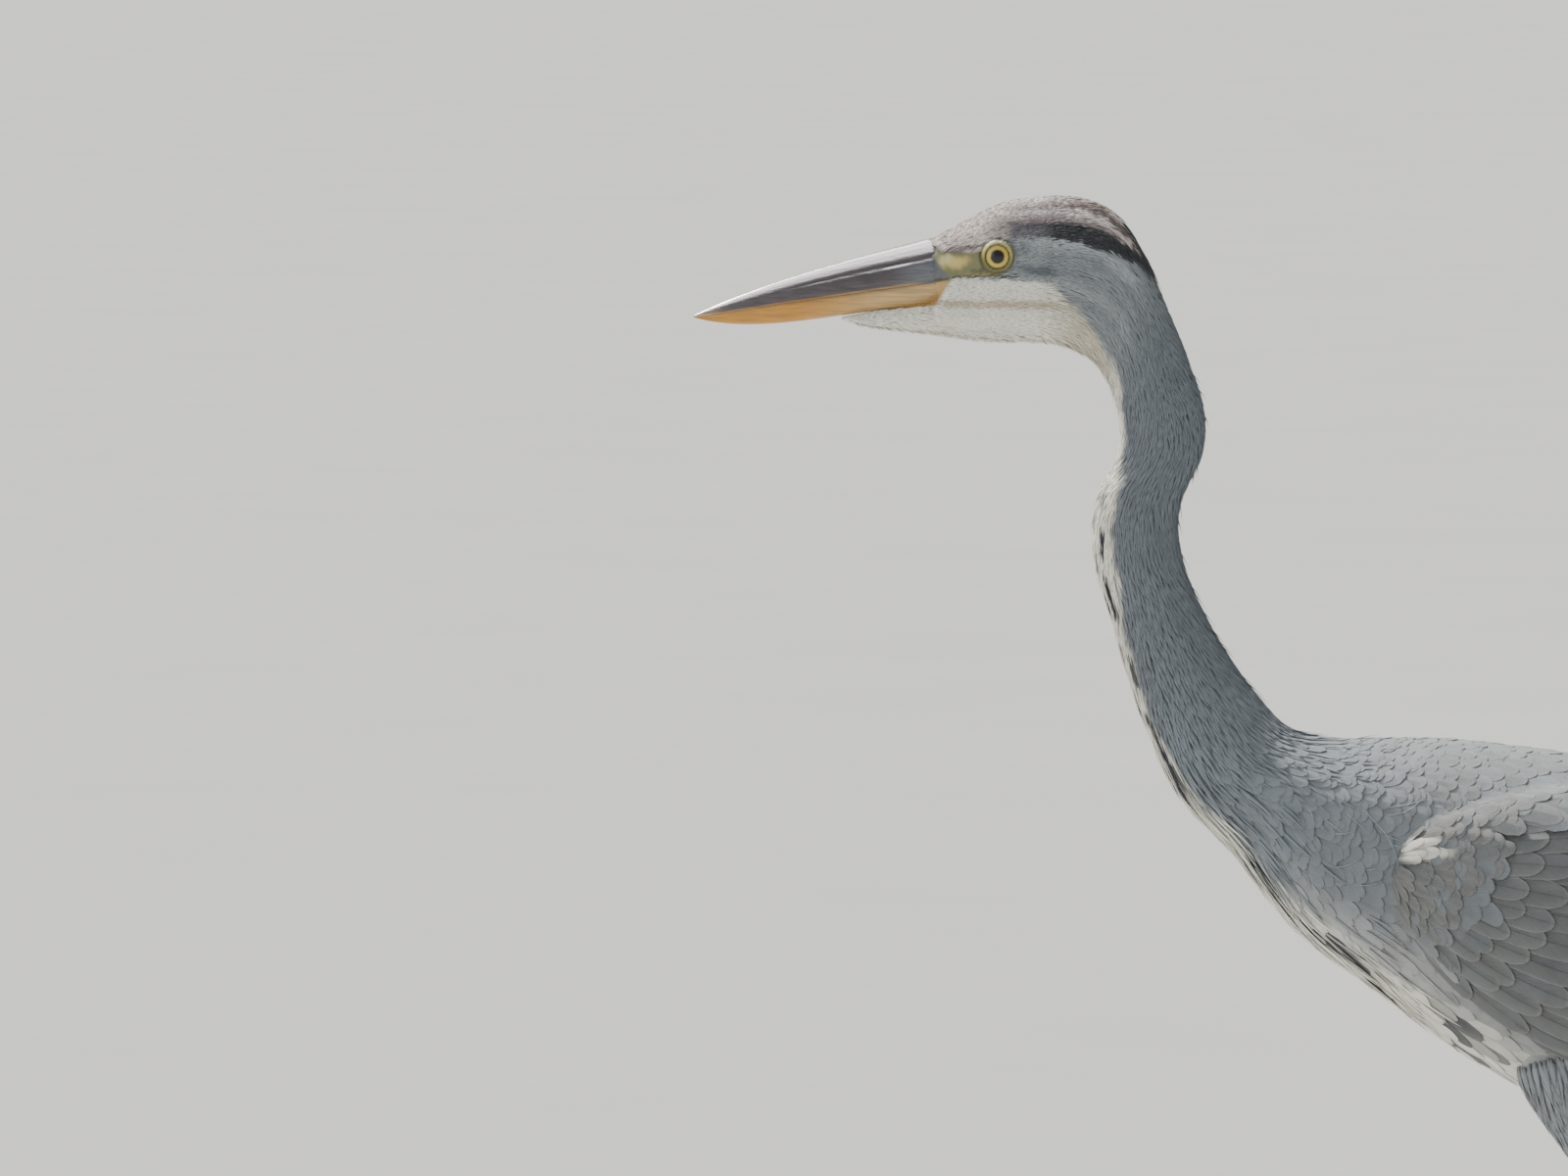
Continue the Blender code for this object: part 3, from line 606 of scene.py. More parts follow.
def bare_colour(x, z):
    """Lore, lids, and the ends of both mandibles, where they run onto the face."""
    gape, eye, lid = gape_height(x), from_eye(x, z), LID_RADIUS * 1000
    wavy = z + 0.5 * np.sin(0.7 * x + 1) + 0.3 * np.sin(1.6 * x + 0.9 * z)
    colour = mix(OLIVE, LORE, spot(x, wavy, (-270.2, 668.8), (9.5, 4.2), 0.30, 0.10))
    colour = mix(colour, PALE_LORE, 0.8 * spot(x, wavy, (-274.5, 670.2), (6.2, 3.4), 0.25))
    colour = mix(colour, OLIVE * 0.40, 0.85 * spot(x, wavy, (-257, 665.2), (8, 1.6), 0.45, 0.06))
    colour = mix(colour, LORE * 0.50, 0.7 * near(0.7, 0.3, z - 663.2) * smooth(-272, -267, x))
    blue = smooth(-276.8, -279.4, x + 0.75 * (z - 668)) * smooth(gape - 0.2, gape + 0.6, z)
    colour = mix(colour, HORN_BLUE * 0.75, blue)
    colour = mix(colour, MANDIBLE, blue * smooth(670, 673, z))
    colour = mix(colour, OLIVE * 0.3, near(0.9, 0.3, z - gape - 0.8))
    colour = mix(colour, PEACH * 1.05, smooth(gape + 0.2, gape - 0.6, z))
    # Darker skin round the lids: painted shade beside the lids' rim
    colour = mix(colour, OLIVE * 0.45, smooth(9.4, 8.4, eye))
    # The lids' yellow is strongest on the upper lid, partly a painted highlight from the light above
    colour = mix(colour, LID, smooth(7.6, 7, eye) * (0.22 + 0.78 * smooth(669, 676.5, z)))
    return mix(colour, OLIVE * 0.10, smooth(lid + 0.2, lid - 0.1, eye))


# ---------------------------------------------------------------- meshes

# Sections of feathers: places across in half widths, heights in thicknesses
LOCK = np.array(((-1, 0), (1, 0), (0, 1)))
VANE = np.array((
    (-1, 0), (0, -0.5), (1, 0), (0.85, 0.5), (0.07, 0.75), (0, 1.35), (-0.07, 0.75), (-0.85, 0.5),
))
LEAF = np.array(((-1, 0), (0, -0.5), (1, 0), (0.55, 0.7), (0, 1.05), (-0.55, 0.7)))
# Size of one feather's patch on the bake map
BAKE_PATCH = 0.003


def lock_shape(t):
    """Width of a small tuft along its length: slim root, full middle, fine point."""
    return 0.35 + 0.65 * np.sin(np.pi * np.minimum(t * 1.25, 1.0) ** 0.7) ** 0.8 - 0.33 * t**3


def vane_shape(t, root=0.30, widening=2.6, end=0.70, curve=0.0915, least=0.003):
    """Width of a broad feather: it widens fast and has a round tip."""
    tip = 1 - np.maximum(t - end, 0) ** 2 / curve
    return np.clip(root + widening * t, 0, 1) * np.sqrt(np.clip(tip, least, 1))


def quill_shape(t):
    """Width of a flight feather: nearly parallel, with a blunt rounded point."""
    return vane_shape(t, 0.25, 5.0, 0.80, 0.0405, 0.004)


def lance_shape(t):
    """Width of a long pointed plume."""
    return np.clip(0.35 + 2 * t, 0, 1) * np.clip(1 - np.maximum(t - 0.25, 0) / 0.76, 0.015, 1) ** 0.75


class Coat:
    """Feathers gathered into one mesh. Every feather is closed, with a cap at its root and its tip."""

    def __init__(self, name, unwrap=body_unwrap):
        self.name, self.unwrap, self.batches = name, unwrap, []

    def grow(self, surface, a, b, length, width, root, tip, paint, section=LOCK, shape=lock_shape, rings=4,
             thick=0.0003, turn=0.0, bend=0.0, cup=0.0, tilt=0.0, ragged=0.0, crowd=1.0, taper=False,
             step=(0.01, 0.01), rise=0.8):
        """Grows one feather from each root (a, b), lying along rising a.

        root and tip are how far out its two ends lie, and it lifts earlier between them with a smaller rise.
        crowd packs the rings towards the tip, and taper narrows the feather with the surface it lies on.
        """
        count = len(a)
        length, width, root, tip, turn, bend = (
            np.broadcast_to(value, count) for value in (length, width, root, tip, turn, bend)
        )
        middle_a, middle_b, first = a, b, None
        k, h = section.T[:, None]
        points, places = [], []
        shares = 1 - (1 - np.linspace(0, 1, rings)) ** crowd
        for t, pace in zip(shares, np.append(np.diff(shares), 0)):
            along, around = stretch(surface, middle_a, middle_b, *step)
            first = around if first is None else first
            facing = turn + bend * t
            noise = 1 + ragged * rng.uniform(-1, 1, (count, len(section))) * min(1, 3 * t)
            wide = (width * around / first if taper else width)[:, None]
            across = k * shape(t)
            reach = wide / 2 * across * noise
            out = (root + (tip - root) * t**rise)[:, None] + thick * h * min(1, 1.6 * (1.03 - t))
            points.append(surface(
                middle_a[:, None] - reach * (np.sin(facing) / along)[:, None],
                middle_b[:, None] + reach * (np.cos(facing) / around)[:, None],
                out + wide * (tilt - cup * across) * across,
            ))
            places.append(np.stack(np.broadcast_arrays(k, np.full((count, 1), t)), -1))
            middle_a = middle_a + pace * length * np.cos(facing) / along
            middle_b = middle_b + pace * length * np.sin(facing) / around
        points, places = np.stack(points, 1), np.stack(places, 1)
        size = np.stack([width, length], -1)[:, None, None]
        bake = self.unwrap(a, b)[:, None, None] + places * (0.5, 1) * BAKE_PATCH
        parts = points, paint(points, places), np.concatenate([places * size, bake], -1)
        flip = faces_in(points)[:, None, None, None]
        self.batches.append([np.where(flip, part[:, :, ::-1], part) for part in parts])

    def build(self, material, slot, nodes=(), sharp=None):
        """Makes the mesh object, with its colours, the map of the vanes in metres and the bake map."""
        offset, faces = 0, []
        for points, _, _ in self.batches:
            shape = points.shape[:3]
            faces.append(loft_faces(np.arange(np.prod(shape)).reshape(shape) + offset))
            offset += np.prod(shape)
        loops, totals = (np.concatenate(part) for part in zip(*faces))
        rows = [[part.reshape(-1, part.shape[-1]) for part in batch] for batch in self.batches]
        points, colours, maps = (np.concatenate(part) for part in zip(*rows))
        made = mesh_object(self.name, points, loops, totals)
        paint_points(made, colours)
        for name, values in (("vane", maps[loops, :2]), ("OFBake", maps[loops, 2:])):
            layer = made.data.uv_layers.new(name=name)
            layer.data.foreach_set("uv", values.astype(np.float32).ravel())
        layer.active = True
        layer.active_render = True
        if sharp:
            made.data.set_sharp_from_angle(angle=math.radians(sharp))
        return piece(made, material, slot, nodes)


def faces_in(points):
    """Which feathers have rings that run the wrong way round, so that their faces point in."""
    ring = points[:, points.shape[1] // 2]
    ring = ring - ring.mean(1, keepdims=True)
    normal = np.cross(ring, np.roll(ring, -1, axis=1)).sum(1)
    return (normal * (points[:, -1] - points[:, 0]).mean(1)).sum(-1) < 0


def loft_faces(index):
    """Corners of the faces of closed lofts, and how many each face has, from the lofts' rings of points."""
    here, after = index[:, :-1], index[:, 1:]
    sides = np.stack([here, np.roll(here, -1, 2), np.roll(after, -1, 2), after], -1)
    loops = np.concatenate([sides.ravel(), index[:, 0, ::-1].ravel(), index[:, -1].ravel()])
    return loops, np.repeat((4, index.shape[2]), (sides.size // 4, 2 * len(index)))


def mesh_object(name, verts, loops, totals):
    """A smooth-shaded mesh object from arrays of corners and of corners in each face."""
    mesh = bpy.data.meshes.new(name)
    mesh.vertices.add(len(verts))
    mesh.vertices.foreach_set("co", verts.astype(np.float32).ravel())
    mesh.loops.add(len(loops))
    mesh.loops.foreach_set("vertex_index", loops.astype(np.int32))
    mesh.polygons.add(len(totals))
    mesh.polygons.foreach_set("loop_start", (np.cumsum(totals) - totals).astype(np.int32))
    mesh.update(calc_edges=True)
    mesh.shade_smooth()
    return link(name, mesh)


def link(name, data):
    """A new object in the scene."""
    made = bpy.data.objects.new(name, data)
    bpy.context.scene.collection.objects.link(made)
    return made


def loft(name, rings):
    """A closed loft through rings of points."""
    rings = np.asarray(rings)
    index = np.arange(rings.size // 3).reshape(1, *rings.shape[:2])
    return mesh_object(name, rings.reshape(-1, 3), *loft_faces(index))


def round_grid(rows, count):
    """Every row with every one of count turns round it."""
    return np.meshgrid(rows, np.linspace(0, TAU, count + 1)[:-1], indexing="ij")


def paint_points(made, tints):
    """Writes a colour for each point, or one for all."""
    rgba = np.ones((len(made.data.vertices), 4), np.float32)
    rgba[:, :3] = np.clip(tints, 0, 1)
    made.data.color_attributes.new("plumage", "FLOAT_COLOR", "POINT").data.foreach_set("color", rgba.ravel())


def piece(made, material, slot, nodes=()):
    """Hands a finished piece to the frame."""
    made.data.materials.clear()
    made.data.materials.append(material)
    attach(made, "root")
    if nodes:
        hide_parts(*nodes)
    return made


# ---------------------------------------------------------------- materials


def material(name, build, **sockets):
    """A Principled material. build adds nodes and returns the colour's and the bump's, if there is one."""
    made = bpy.data.materials.new(name)
    made.use_nodes = True
    tree = made.node_tree
    shader = tree.nodes["Principled BSDF"]
    for socket, value in sockets.items():
        shader.inputs[socket.replace("_", " ")].default_value = value
    for socket, value in zip(("Base Color", "Normal"), build(tree, node(tree, "TexCoord").outputs["Object"])):
        tree.links.new(value.outputs[0], shader.inputs[socket])
    return made


def node(tree, kind, **values):
    """Adds a node, sets its properties, and sets or links its inputs (keys that start with in_)."""
    made = tree.nodes.new("ShaderNode" + kind)
    inputs = {key[3:].replace("_", " "): value for key, value in values.items() if key.startswith("in_")}
    for key, value in values.items():
        if not key.startswith("in_"):
            setattr(made, key, value)
    for name, value in inputs.items():
        socket = made.inputs[int(name) if name.isdigit() else name]
        if isinstance(value, bpy.types.Node):
            value = value.outputs[0]
        if isinstance(value, bpy.types.NodeSocket):
            tree.links.new(value, socket)
        else:
            socket.default_value = value
    return made


def maths(tree, operation, *values, kind="Math"):
    """A Math node, or a VectorMath one."""
    return node(tree, kind, operation=operation, **{f"in_{i}": value for i, value in enumerate(values)})


def span(tree, value, low, high, to_low, to_high):
    """A MapRange node."""
    ends = dict(in_From_Min=low, in_From_Max=high, in_To_Min=to_low, in_To_Max=to_high)
    return node(tree, "MapRange", in_Value=value, **ends)


def ramp(tree, factor, stops):
    """A colour ramp through (position, (r, g, b)) stops."""
    made = node(tree, "ValToRGB", in_Fac=factor)
    elements = made.color_ramp.elements
    elements.remove(elements[1])
    for i, (place, colour) in enumerate(stops):
        element = elements.new(place) if i else elements[0]
        element.position = place
        element.color = (*colour, 1)
    return made


def painted(name, grain, **sockets):
    """A material in the painted colours. grain gives their shade, and the bump's height, strength, depth."""

    def build(tree, place):
        shade, height, strength, depth = grain(tree, place)
        paint = node(tree, "Attribute", attribute_name="plumage")
        tint = node(tree, "VectorMath", operation="SCALE", in_0=paint, in_Scale=shade)
        return tint, node(tree, "Bump", in_Height=height, in_Strength=strength, in_Distance=depth)

    return material(name, build, **sockets)


def feather_material(name, barbs, strength, mottle, sheen=0.15):
    """Plumage: mottling, and the barbs as fine slanting ridges and streaks."""

    def grain(tree, place):
        parts = node(tree, "SeparateXYZ", in_Vector=node(tree, "UVMap", uv_map="vane"))
        slant = maths(tree, "MULTIPLY", maths(tree, "ABSOLUTE", parts), 0.9)
        run = maths(tree, "SUBTRACT", parts.outputs["Y"], slant)
        mottles = node(tree, "TexNoise", in_Vector=place, in_Scale=95, in_Detail=5)
        clumps = node(tree, "TexNoise", noise_dimensions="1D", in_W=run, in_Scale=1 / barbs, in_Detail=2)
        shade = span(tree, maths(tree, "ADD", mottles, clumps), 0.6, 1.4, 1 - mottle, 1 + mottle)
        ridges = maths(tree, "SINE", maths(tree, "MULTIPLY", run, TAU / barbs))
        return shade, ridges, strength, barbs * 0.25

    return painted(name, grain, Roughness=0.72, Sheen_Weight=sheen, Sheen_Roughness=0.4)


def skin_material():
    """Skin under the plumage, and the bare face with fine pores."""

    def grain(tree, place):
        blotches = node(tree, "TexNoise", in_Vector=place, in_Scale=420, in_Detail=4)
        pores = node(tree, "TexVoronoi", in_Vector=place, in_Scale=1600)
        return span(tree, blotches, 0, 1, 0.78, 1.22), pores, 0.35, 0.0002

    return painted("skin", grain, Roughness=0.5)


def horn_material(name, shades, roughness, coat):
    """Bill and claw horn: growth streaks along the bill under a smooth surface."""

    def grain(tree, place):
        slope = (0, math.radians(8.3), 0)
        drawn = node(tree, "Mapping", in_Vector=place, in_Scale=(60, 900, 900), in_Rotation=slope)
        streak = node(tree, "TexNoise", in_Vector=drawn, in_Scale=1, in_Detail=5)
        return span(tree, streak, 0.3, 0.7, *shades), streak, 0.55, 0.0003

    return painted(name, grain, Roughness=roughness, Coat_Weight=coat, Coat_Roughness=0.20)


def leg_material():
    """Scaly skin."""

    def grain(tree, place):
        cells = node(tree, "TexVoronoi", in_Vector=place, in_Scale=420, feature="DISTANCE_TO_EDGE")
        edge = span(tree, cells, 0, 0.18, 0.62, 1.10)
        return edge, edge, 0.5, 0.0003

    return painted("leg", grain, Roughness=0.5)


def eye_material():
    """Yellow iris with fine rays and a dark rim, black pupil, wet cornea."""
    centre = (EYE_CENTRE[0] + SHIFT[0], 0, EYE_CENTRE[2])
    pupil, iris = PUPIL_RADIUS / EYE_RADIUS, IRIS_RADIUS / EYE_RADIUS
    stops = (
        (0, (0.003, 0.003, 0.003)),
        (pupil - 0.015, (0.003, 0.003, 0.003)),
        (pupil + 0.025, (0.20, 0.125, 0.015)),
        (pupil + 0.09, (0.60, 0.44, 0.065)),
        (iris - 0.17, (0.66, 0.50, 0.085)),
        (iris - 0.08, (0.36, 0.25, 0.035)),
        (iris - 0.02, (0.04, 0.03, 0.012)),
        (1, (0.012, 0.010, 0.008)),
    )

    def build(tree, place):
        local = maths(tree, "SUBTRACT", place, centre, kind="VectorMath")
        flat = maths(tree, "MULTIPLY", local, (1, 0, 1), kind="VectorMath")
        reach = maths(tree, "LENGTH", flat, kind="VectorMath").outputs["Value"]
        rays = maths(tree, "NORMALIZE", flat, kind="VectorMath")
        noise = node(tree, "TexNoise", in_Vector=rays, in_Scale=9, in_Detail=6)
        moved = maths(tree, "ADD", reach, maths(tree, "MULTIPLY_ADD", noise, 0.0008, -0.0004))
        return (ramp(tree, maths(tree, "DIVIDE", moved, EYE_RADIUS), stops),)

    wet = dict(Coat_Weight=0.8, Coat_IOR=1.38, Coat_Roughness=0.03)
    return material("eye", build, Roughness=0.35, IOR=1.38, **wet)


# ---------------------------------------------------------------- body pieces

# How deep the skin lies under the coat's outer face, at these stations
COAT_DEPTH = ((0, 1.5, 5, 8, 14, 18, 21, 27), (0.0005, 0.0006, 0.0014, 0.0018, 0.0024, 0.0034, 0.0045, 0.005))
FACE_ROWS = 190
# The thighs' skin is plain grey below this height, in millimetres
LEG_SKIN_TOP = 262
SMALL_FEATHER = dict(section=LEAF, shape=vane_shape, crowd=1.7, thick=0.00018, cup=0.025)


def coat_paint(surface, a, b, tone=0.10, painted_root_shade=0.10, edge=0.0, jitter=0.0005):
    """Paints feathers with the markings near their roots, each with its own slight tone, and darker towards
    its root as painted shade under the feathers that overlap it.
    """
    points = surface(a, b, np.zeros_like(a)) + rng.normal(0, jitter, (len(a), 3))
    station = np.zeros_like(a) if surface is chin else a
    base = plumage(points, station, b) * (1 + vary(-tone, tone, a)[:, None])

    def paint(points, places):
        k, t = np.abs(places[..., :1]), places[..., 1:]
        # Darker at the root and paler at the tip: painted shade where the feathers overlap
        colour = base[:, None, None] * (1 - painted_root_shade + 2 * painted_root_shade * t)
        rim = np.clip(smooth(0.75, 1, k) + smooth(0.80, 0.97, t), 0, 1) * edge
        return colour + (BREAST_EDGE - colour) * rim

    return paint


def plain_paint(tints):
    """Paints each feather in its own colour."""
    return lambda points, places: tints[:, None, None] + 0 * points


def graded(stops, values):
    """A function that runs straight between values."""
    return lambda a: np.interp(a, stops, values)


def scatter(count, start, end, middle, spread):
    """Random roots between two stations, gathered round a line."""
    return rng.uniform(start, end, count), middle + rng.normal(0, spread, count)


def eye_height(reach):
    """How far from the midline the eyeball's outer face lies, at a distance from its centre."""
    return EYE_CENTRE[1] + EYE_HALF_THICKNESS * np.sqrt(np.clip(1 - (reach / EYE_RADIUS) ** 2, 0, 1))


def mandible_half_width(x, z):
    """Half the bill's width at a height, and that of the chin feathers below it."""
    width, middle = bill_size(x)[1], bill_line(x)
    upper = width * np.interp((z - middle) / UPPER_BILL_DEPTH, *BILL_ROOF) * (z >= middle)
    drop = np.clip((middle - z) / (LOWER_BILL_DEPTH * 0.87), 0, 1)
    lower = width * np.sqrt(1 - drop**2) * (z < middle)
    t = (x - CHIN_TIP[0]) / (BODY[1, 0] - CHIN_TIP[0])
    depth, chin_width = chin_size(np.clip(t, 0, 1))
    down = 2 * (CHIN_TIP[1] + 0.012 * t - z) / depth - 1
    return np.maximum.reduce([upper, lower, chin_width * np.sqrt(np.clip(1 - down**2, 0, 1))])


def shape_face(points):
    """Models the lids round the eyes, the hollow lores and the join with the bill on the skin."""
    x, y, z = np.moveaxis(points - SHIFT, -1, 0)
    front = smooth(-0.2750, -0.2800, x)
    snug = np.minimum(np.abs(y), mandible_half_width(x, z) - 0.0002)
    height = np.abs(y) * (1 - front) + snug * front
    reach = np.hypot(x - EYE_CENTRE[0], (z - EYE_CENTRE[2]) * 1.04)
    roll = np.sin(np.pi * np.clip((reach - LID_RADIUS) / 0.0016, 0, 1))
    rim = eye_height(LID_RADIUS) + 0.0003 + 0.0004 * roll
    inner = eye_height(reach) + 0.0002 - 0.0011 * smooth(0, 0.0007, LID_RADIUS - reach)
    lid = smooth(0.0086, 0.0066, reach) * (np.abs(y) > 0.006)
    height = height * (1 - lid) + np.where(reach < LID_RADIUS, inner, rim) * lid
    hollow = smooth(0.0090, 0.0020, np.hypot((x + 0.268) * 0.7, z - 0.6690)) * (np.abs(y) > 0.005)
    height = height - 0.0009 * hollow * (1 - lid)
    return np.stack([points[..., 0], np.sign(y) * height, points[..., 2]], -1)


def make_skin(finish):
    """One skin over head, neck, trunk, chin and thighs."""
    rows = np.concatenate([np.linspace(0, 5.5, FACE_ROWS), np.linspace(5.53, TRUNK_END, 200)])
    at, turn = round_grid(rows, 160)
    points = body(at, turn, -np.interp(at, *COAT_DEPTH))
    points[:FACE_ROWS] = shape_face(points[:FACE_ROWS])
    t, around = round_grid(np.linspace(0.03, 1.1, 24), 48)
    parts = [loft("skin", points), loft("skin_chin", chin(t, around, -0.0009 * np.minimum(1, 3 * t)))]
    for word in SIDES:
        t, around = round_grid(np.linspace(0.02, 1, 20), 40)
        parts.append(loft("skin_thigh_" + word, thigh(word)(t, around, -0.004 * (1 - t) - 0.0012)))
    skin = parts[0]
    for part in parts[1:]:
        fuse = skin.modifiers.new(part.name, "BOOLEAN")
        fuse.operation = "UNION"
        fuse.object = part
        fuse.solver = "EXACT"
    graph = bpy.context.evaluated_depsgraph_get()
    joined = bpy.data.meshes.new_from_object(skin.evaluated_get(graph), depsgraph=graph)
    for part in parts:
        bpy.data.objects.remove(part)
    joined.shade_smooth()
    made = link("skin", joined)
    paint_skin(made, points.reshape(-1, 3), at.ravel(), turn.ravel())
    nodes = ["head", "neck_upper", "neck_middle", "neck_lower", "trunk", "thigh_left", "thigh_right"]
    return piece(made, finish, "face_feathers", nodes)


def paint_skin(made, points, stations, turns):
    """Gives the skin the coat's markings and the colours of the bare face."""
    tree = KDTree(len(points))
    for i, point in enumerate(points):
        tree.insert(point, i)
    tree.balance()
    places = np.empty(len(made.data.vertices) * 3, np.float32)
    made.data.vertices.foreach_get("co", places)
    places = places.reshape(-1, 3).astype(float)
    nearest = np.array([tree.find(point)[1] for point in places])
    colour = plumage(places, stations[nearest], turns[nearest]) * 0.85
    x, z = side_on(places)
    colour[(z < LEG_SKIN_TOP) & (stations[nearest] > 20)] = GREY
    bare = bare_skin(x, z) * (x < -236) * (np.abs(places[:, 1]) > 0.002)
    paint_points(made, mix(colour, bare_colour(x, z), bare))


def make_eyes(finish):
    """Flattened eyeballs, which the lids cover to the edge of the iris."""
    for word, side in SIDES.items():
        lift, turn = round_grid(np.linspace(-math.pi / 2 + 0.02, math.pi / 2 - 0.02, 48), 64)
        reach = EYE_RADIUS * np.cos(lift)
        height = EYE_CENTRE[1] + EYE_HALF_THICKNESS * np.sin(lift)
        x, z = EYE_CENTRE[0] + reach * np.cos(turn), EYE_CENTRE[2] - side * reach * np.sin(turn)
        ball = loft("eyeball_" + word, np.stack([x, side * height, z], -1) + SHIFT)
        piece(ball, finish, "eye", ["eye_" + word])


def coat_rows(coat, a, b, length, width, lift, depth, tone, **more):
    """Small tufts on the body's own surface."""
    coat.grow(body, a, b, length, width, -depth, lift, coat_paint(body, a, b, tone), **more)


def throat_hang(angle):
    """Loose tips under the chin and throat, which stand off a little and unevenly."""
    return smooth(2.45, 2.95, from_back(angle)) * 0.0020 * vary(0, 1, angle) ** 3


def make_head_coat(finish):
    """Short tufts over face, crown and cheeks, smallest by the bill and the eyes."""
    size = graded((0, 2, 5, 7), (0.00095, 0.0012, 0.0015, 0.0017))
    face = Coat("coat_face")
    a, b = tile(body, (0.02, 3.2), FULL_TURN, 1.0, 0.55, size)
    feathered = bare_skin(*side_on(body(a, b, np.zeros_like(a)))) < 0.4
    a, b = a[feathered], b[feathered]
    length = size(a) * 4.2 * vary(0.85, 1.15, a)
    coat_rows(face, a, b, length, size(a) * 1.2, 0.0001 + throat_hang(b), 0.0005, 0.05, rings=3, thick=0.0002,
              turn=sway(0.07, a))
    # A point of forehead feathers that runs forward onto the bill
    ahead, across = np.repeat(np.linspace(0, 0.0040, 6), 13), np.tile(np.linspace(-0.55, 0.55, 13), 6)
    keep = ahead > np.abs(across) * 0.0072
    ahead, across = ahead[keep], across[keep]
    tint = mix(PALE_SUNLIT_CROWN, BROWN, vary(0, 0.7, ahead))
    face.unwrap = flat_unwrap(0.01, 0.5, 1, 0.01)
    face.grow(culmen, ahead, across, vary(0.003, 0.0045, ahead), 0.0012, -0.0002, 0.0003, plain_paint(tint),
              rings=3, thick=0.00025, step=(0.0002, 0.02))
    face.build(finish, "face_feathers")
    crown = Coat("coat_crown")
    a, b = tile(body, (2.9, 7.6), FULL_TURN, 1.4, 0.66, size)
    length = size(a) * 4.8 * vary(0.8, 1.2, a)
    coat_rows(crown, a, b, length, size(a) * 1.3, 0.0002 + throat_hang(b), 0.0012, 0.05, thick=0.00028,
              turn=sway(0.06, a))
    # A few longer dark plumes at the nape
    a, b = scatter(70, 4.7, 6.0, 0, 0.22)
    tint = mix(BLACK * 1.6, BROWN * 0.8, vary(0, 1, a))
    crown.grow(body, a, b, vary(0.010, 0.022, a), 0.0014, -0.001, 0.0010, plain_paint(tint), rings=6,
               shape=lance_shape)
    crown.build(finish, "face_feathers")


def make_chin_coat(finish):
    """White throat tufts along the lower mandible, wispy at their lower edge."""
    coat = Coat("coat_chin", flat_unwrap(0.02, 0.02, 0.02, 0.01))
    a, b = tile(chin, (0.02, 1.15), (0.15 * np.pi, 1.85 * np.pi), 0.0013, 0.0008)
    x, z = side_on(chin(a, b, np.zeros_like(a)))
    keep = ((z < np.interp(x, *RAMUS_EDGE)) | (x > -274.5)) & (vary(0.92, 1.15, a) > a)
    a, b = a[keep], b[keep]
    hang = smooth(0.55 * np.pi, 0.95 * np.pi, from_back(b)) * vary(0, 1, a) ** 4 * 0.0014
    coat.grow(chin, a, b, vary(0.004, 0.007, a), 0.0012, -0.0008, 0.0001 + hang, coat_paint(chin, a, b, 0.06),
              turn=sway(0.08, a))
    # Loose hair-like tips hang from its lower edge and from the throat behind it
    for surface, start, end, count in ((chin, 0.10, 1.0, 420), (body, 0.3, 7.0, 560)):
        a, b = scatter(count, start, end, np.pi, 0.22)
        tint = mix(CREAM, BROWN * 1.6, vary(0, 0.55, a))
        coat.grow(surface, a, b, vary(0.0030, 0.0050, a), 0.0006, -0.0006, vary(0.0002, 0.0019, a),
                  plain_paint(tint), rings=5, shape=lance_shape, thick=0.00022, turn=sway(0.18, a), rise=1.3)
    coat.build(finish, "face_feathers")


def make_neck_coat(finish):
    """Fine tufts down the neck, longer and looser towards the breast."""
    size = graded((7, 11, 15, 17.5, 19), (0.0017, 0.0019, 0.0023, 0.0030, 0.0040))
    for name, start, end in (("coat_neck_upper", 7.3, 12.0), ("coat_neck_lower", 11.8, 18.8)):
        coat = Coat(name)
        a, b = tile(body, (start, end), FULL_TURN, 1.45, 0.66, size)
        keep = vary(16.6, 18.6, a) > a
        a, b = a[keep], b[keep]
        length = size(a) * 5.2 * vary(0.8, 1.25, a)
        # Now and then a tip stands off the nape
        loose = (vary(0, 1, a) < 0.05) * smooth(0.35, 0.2, np.abs(b)) * 0.0016
        coat_rows(coat, a, b, length, size(a) * 1.25, 0.0003 + loose, 0.0022, 0.06, rings=5, thick=0.00032,
                  rise=0.5, turn=sway(0.06, a))
        coat.build(finish, "neck_feathers")


def make_breast_coat(finish):
    """Rounded feathers of breast, back, flanks, belly and vent."""
    breast = Coat("coat_breast")
    size = graded((16.4, 18, 19.5, 21, 24), (0.0034, 0.0042, 0.0054, 0.0070, 0.0078))
    a, b = tile(coat_face, (16.4, 27.2), FULL_TURN, 1.35, 1.0, size, jitter=0.25)
    covered = near_wing(a, b, 0) & ((a > 20.5) | ~near_wing(a, b, math.radians(14)) & (a > 20.1))
    keep = ~covered & (vary(16.2, 18.0, a) <= a)
    a, b = a[keep], b[keep]
    under, fore = smooth(1.6, 2.4, from_back(b)), smooth(19, 17, a)
    length = size(a) * (3.8 + 1.6 * np.maximum(under, fore)) * vary(0.85, 1.2, a)
    width = size(a) * (1.85 - 0.55 * under - 0.15 * fore)
    paint = coat_paint(coat_face, a, b, 0.07, 0.06, 0.15, jitter=0.002)
    breast.grow(coat_face, a, b, length, width, -0.0032, 0.0003, paint, rings=8, ragged=0.10, rise=0.42,
                turn=sway(0.08, a), **SMALL_FEATHER)
    breast.build(finish, "body_feathers", sharp=50)


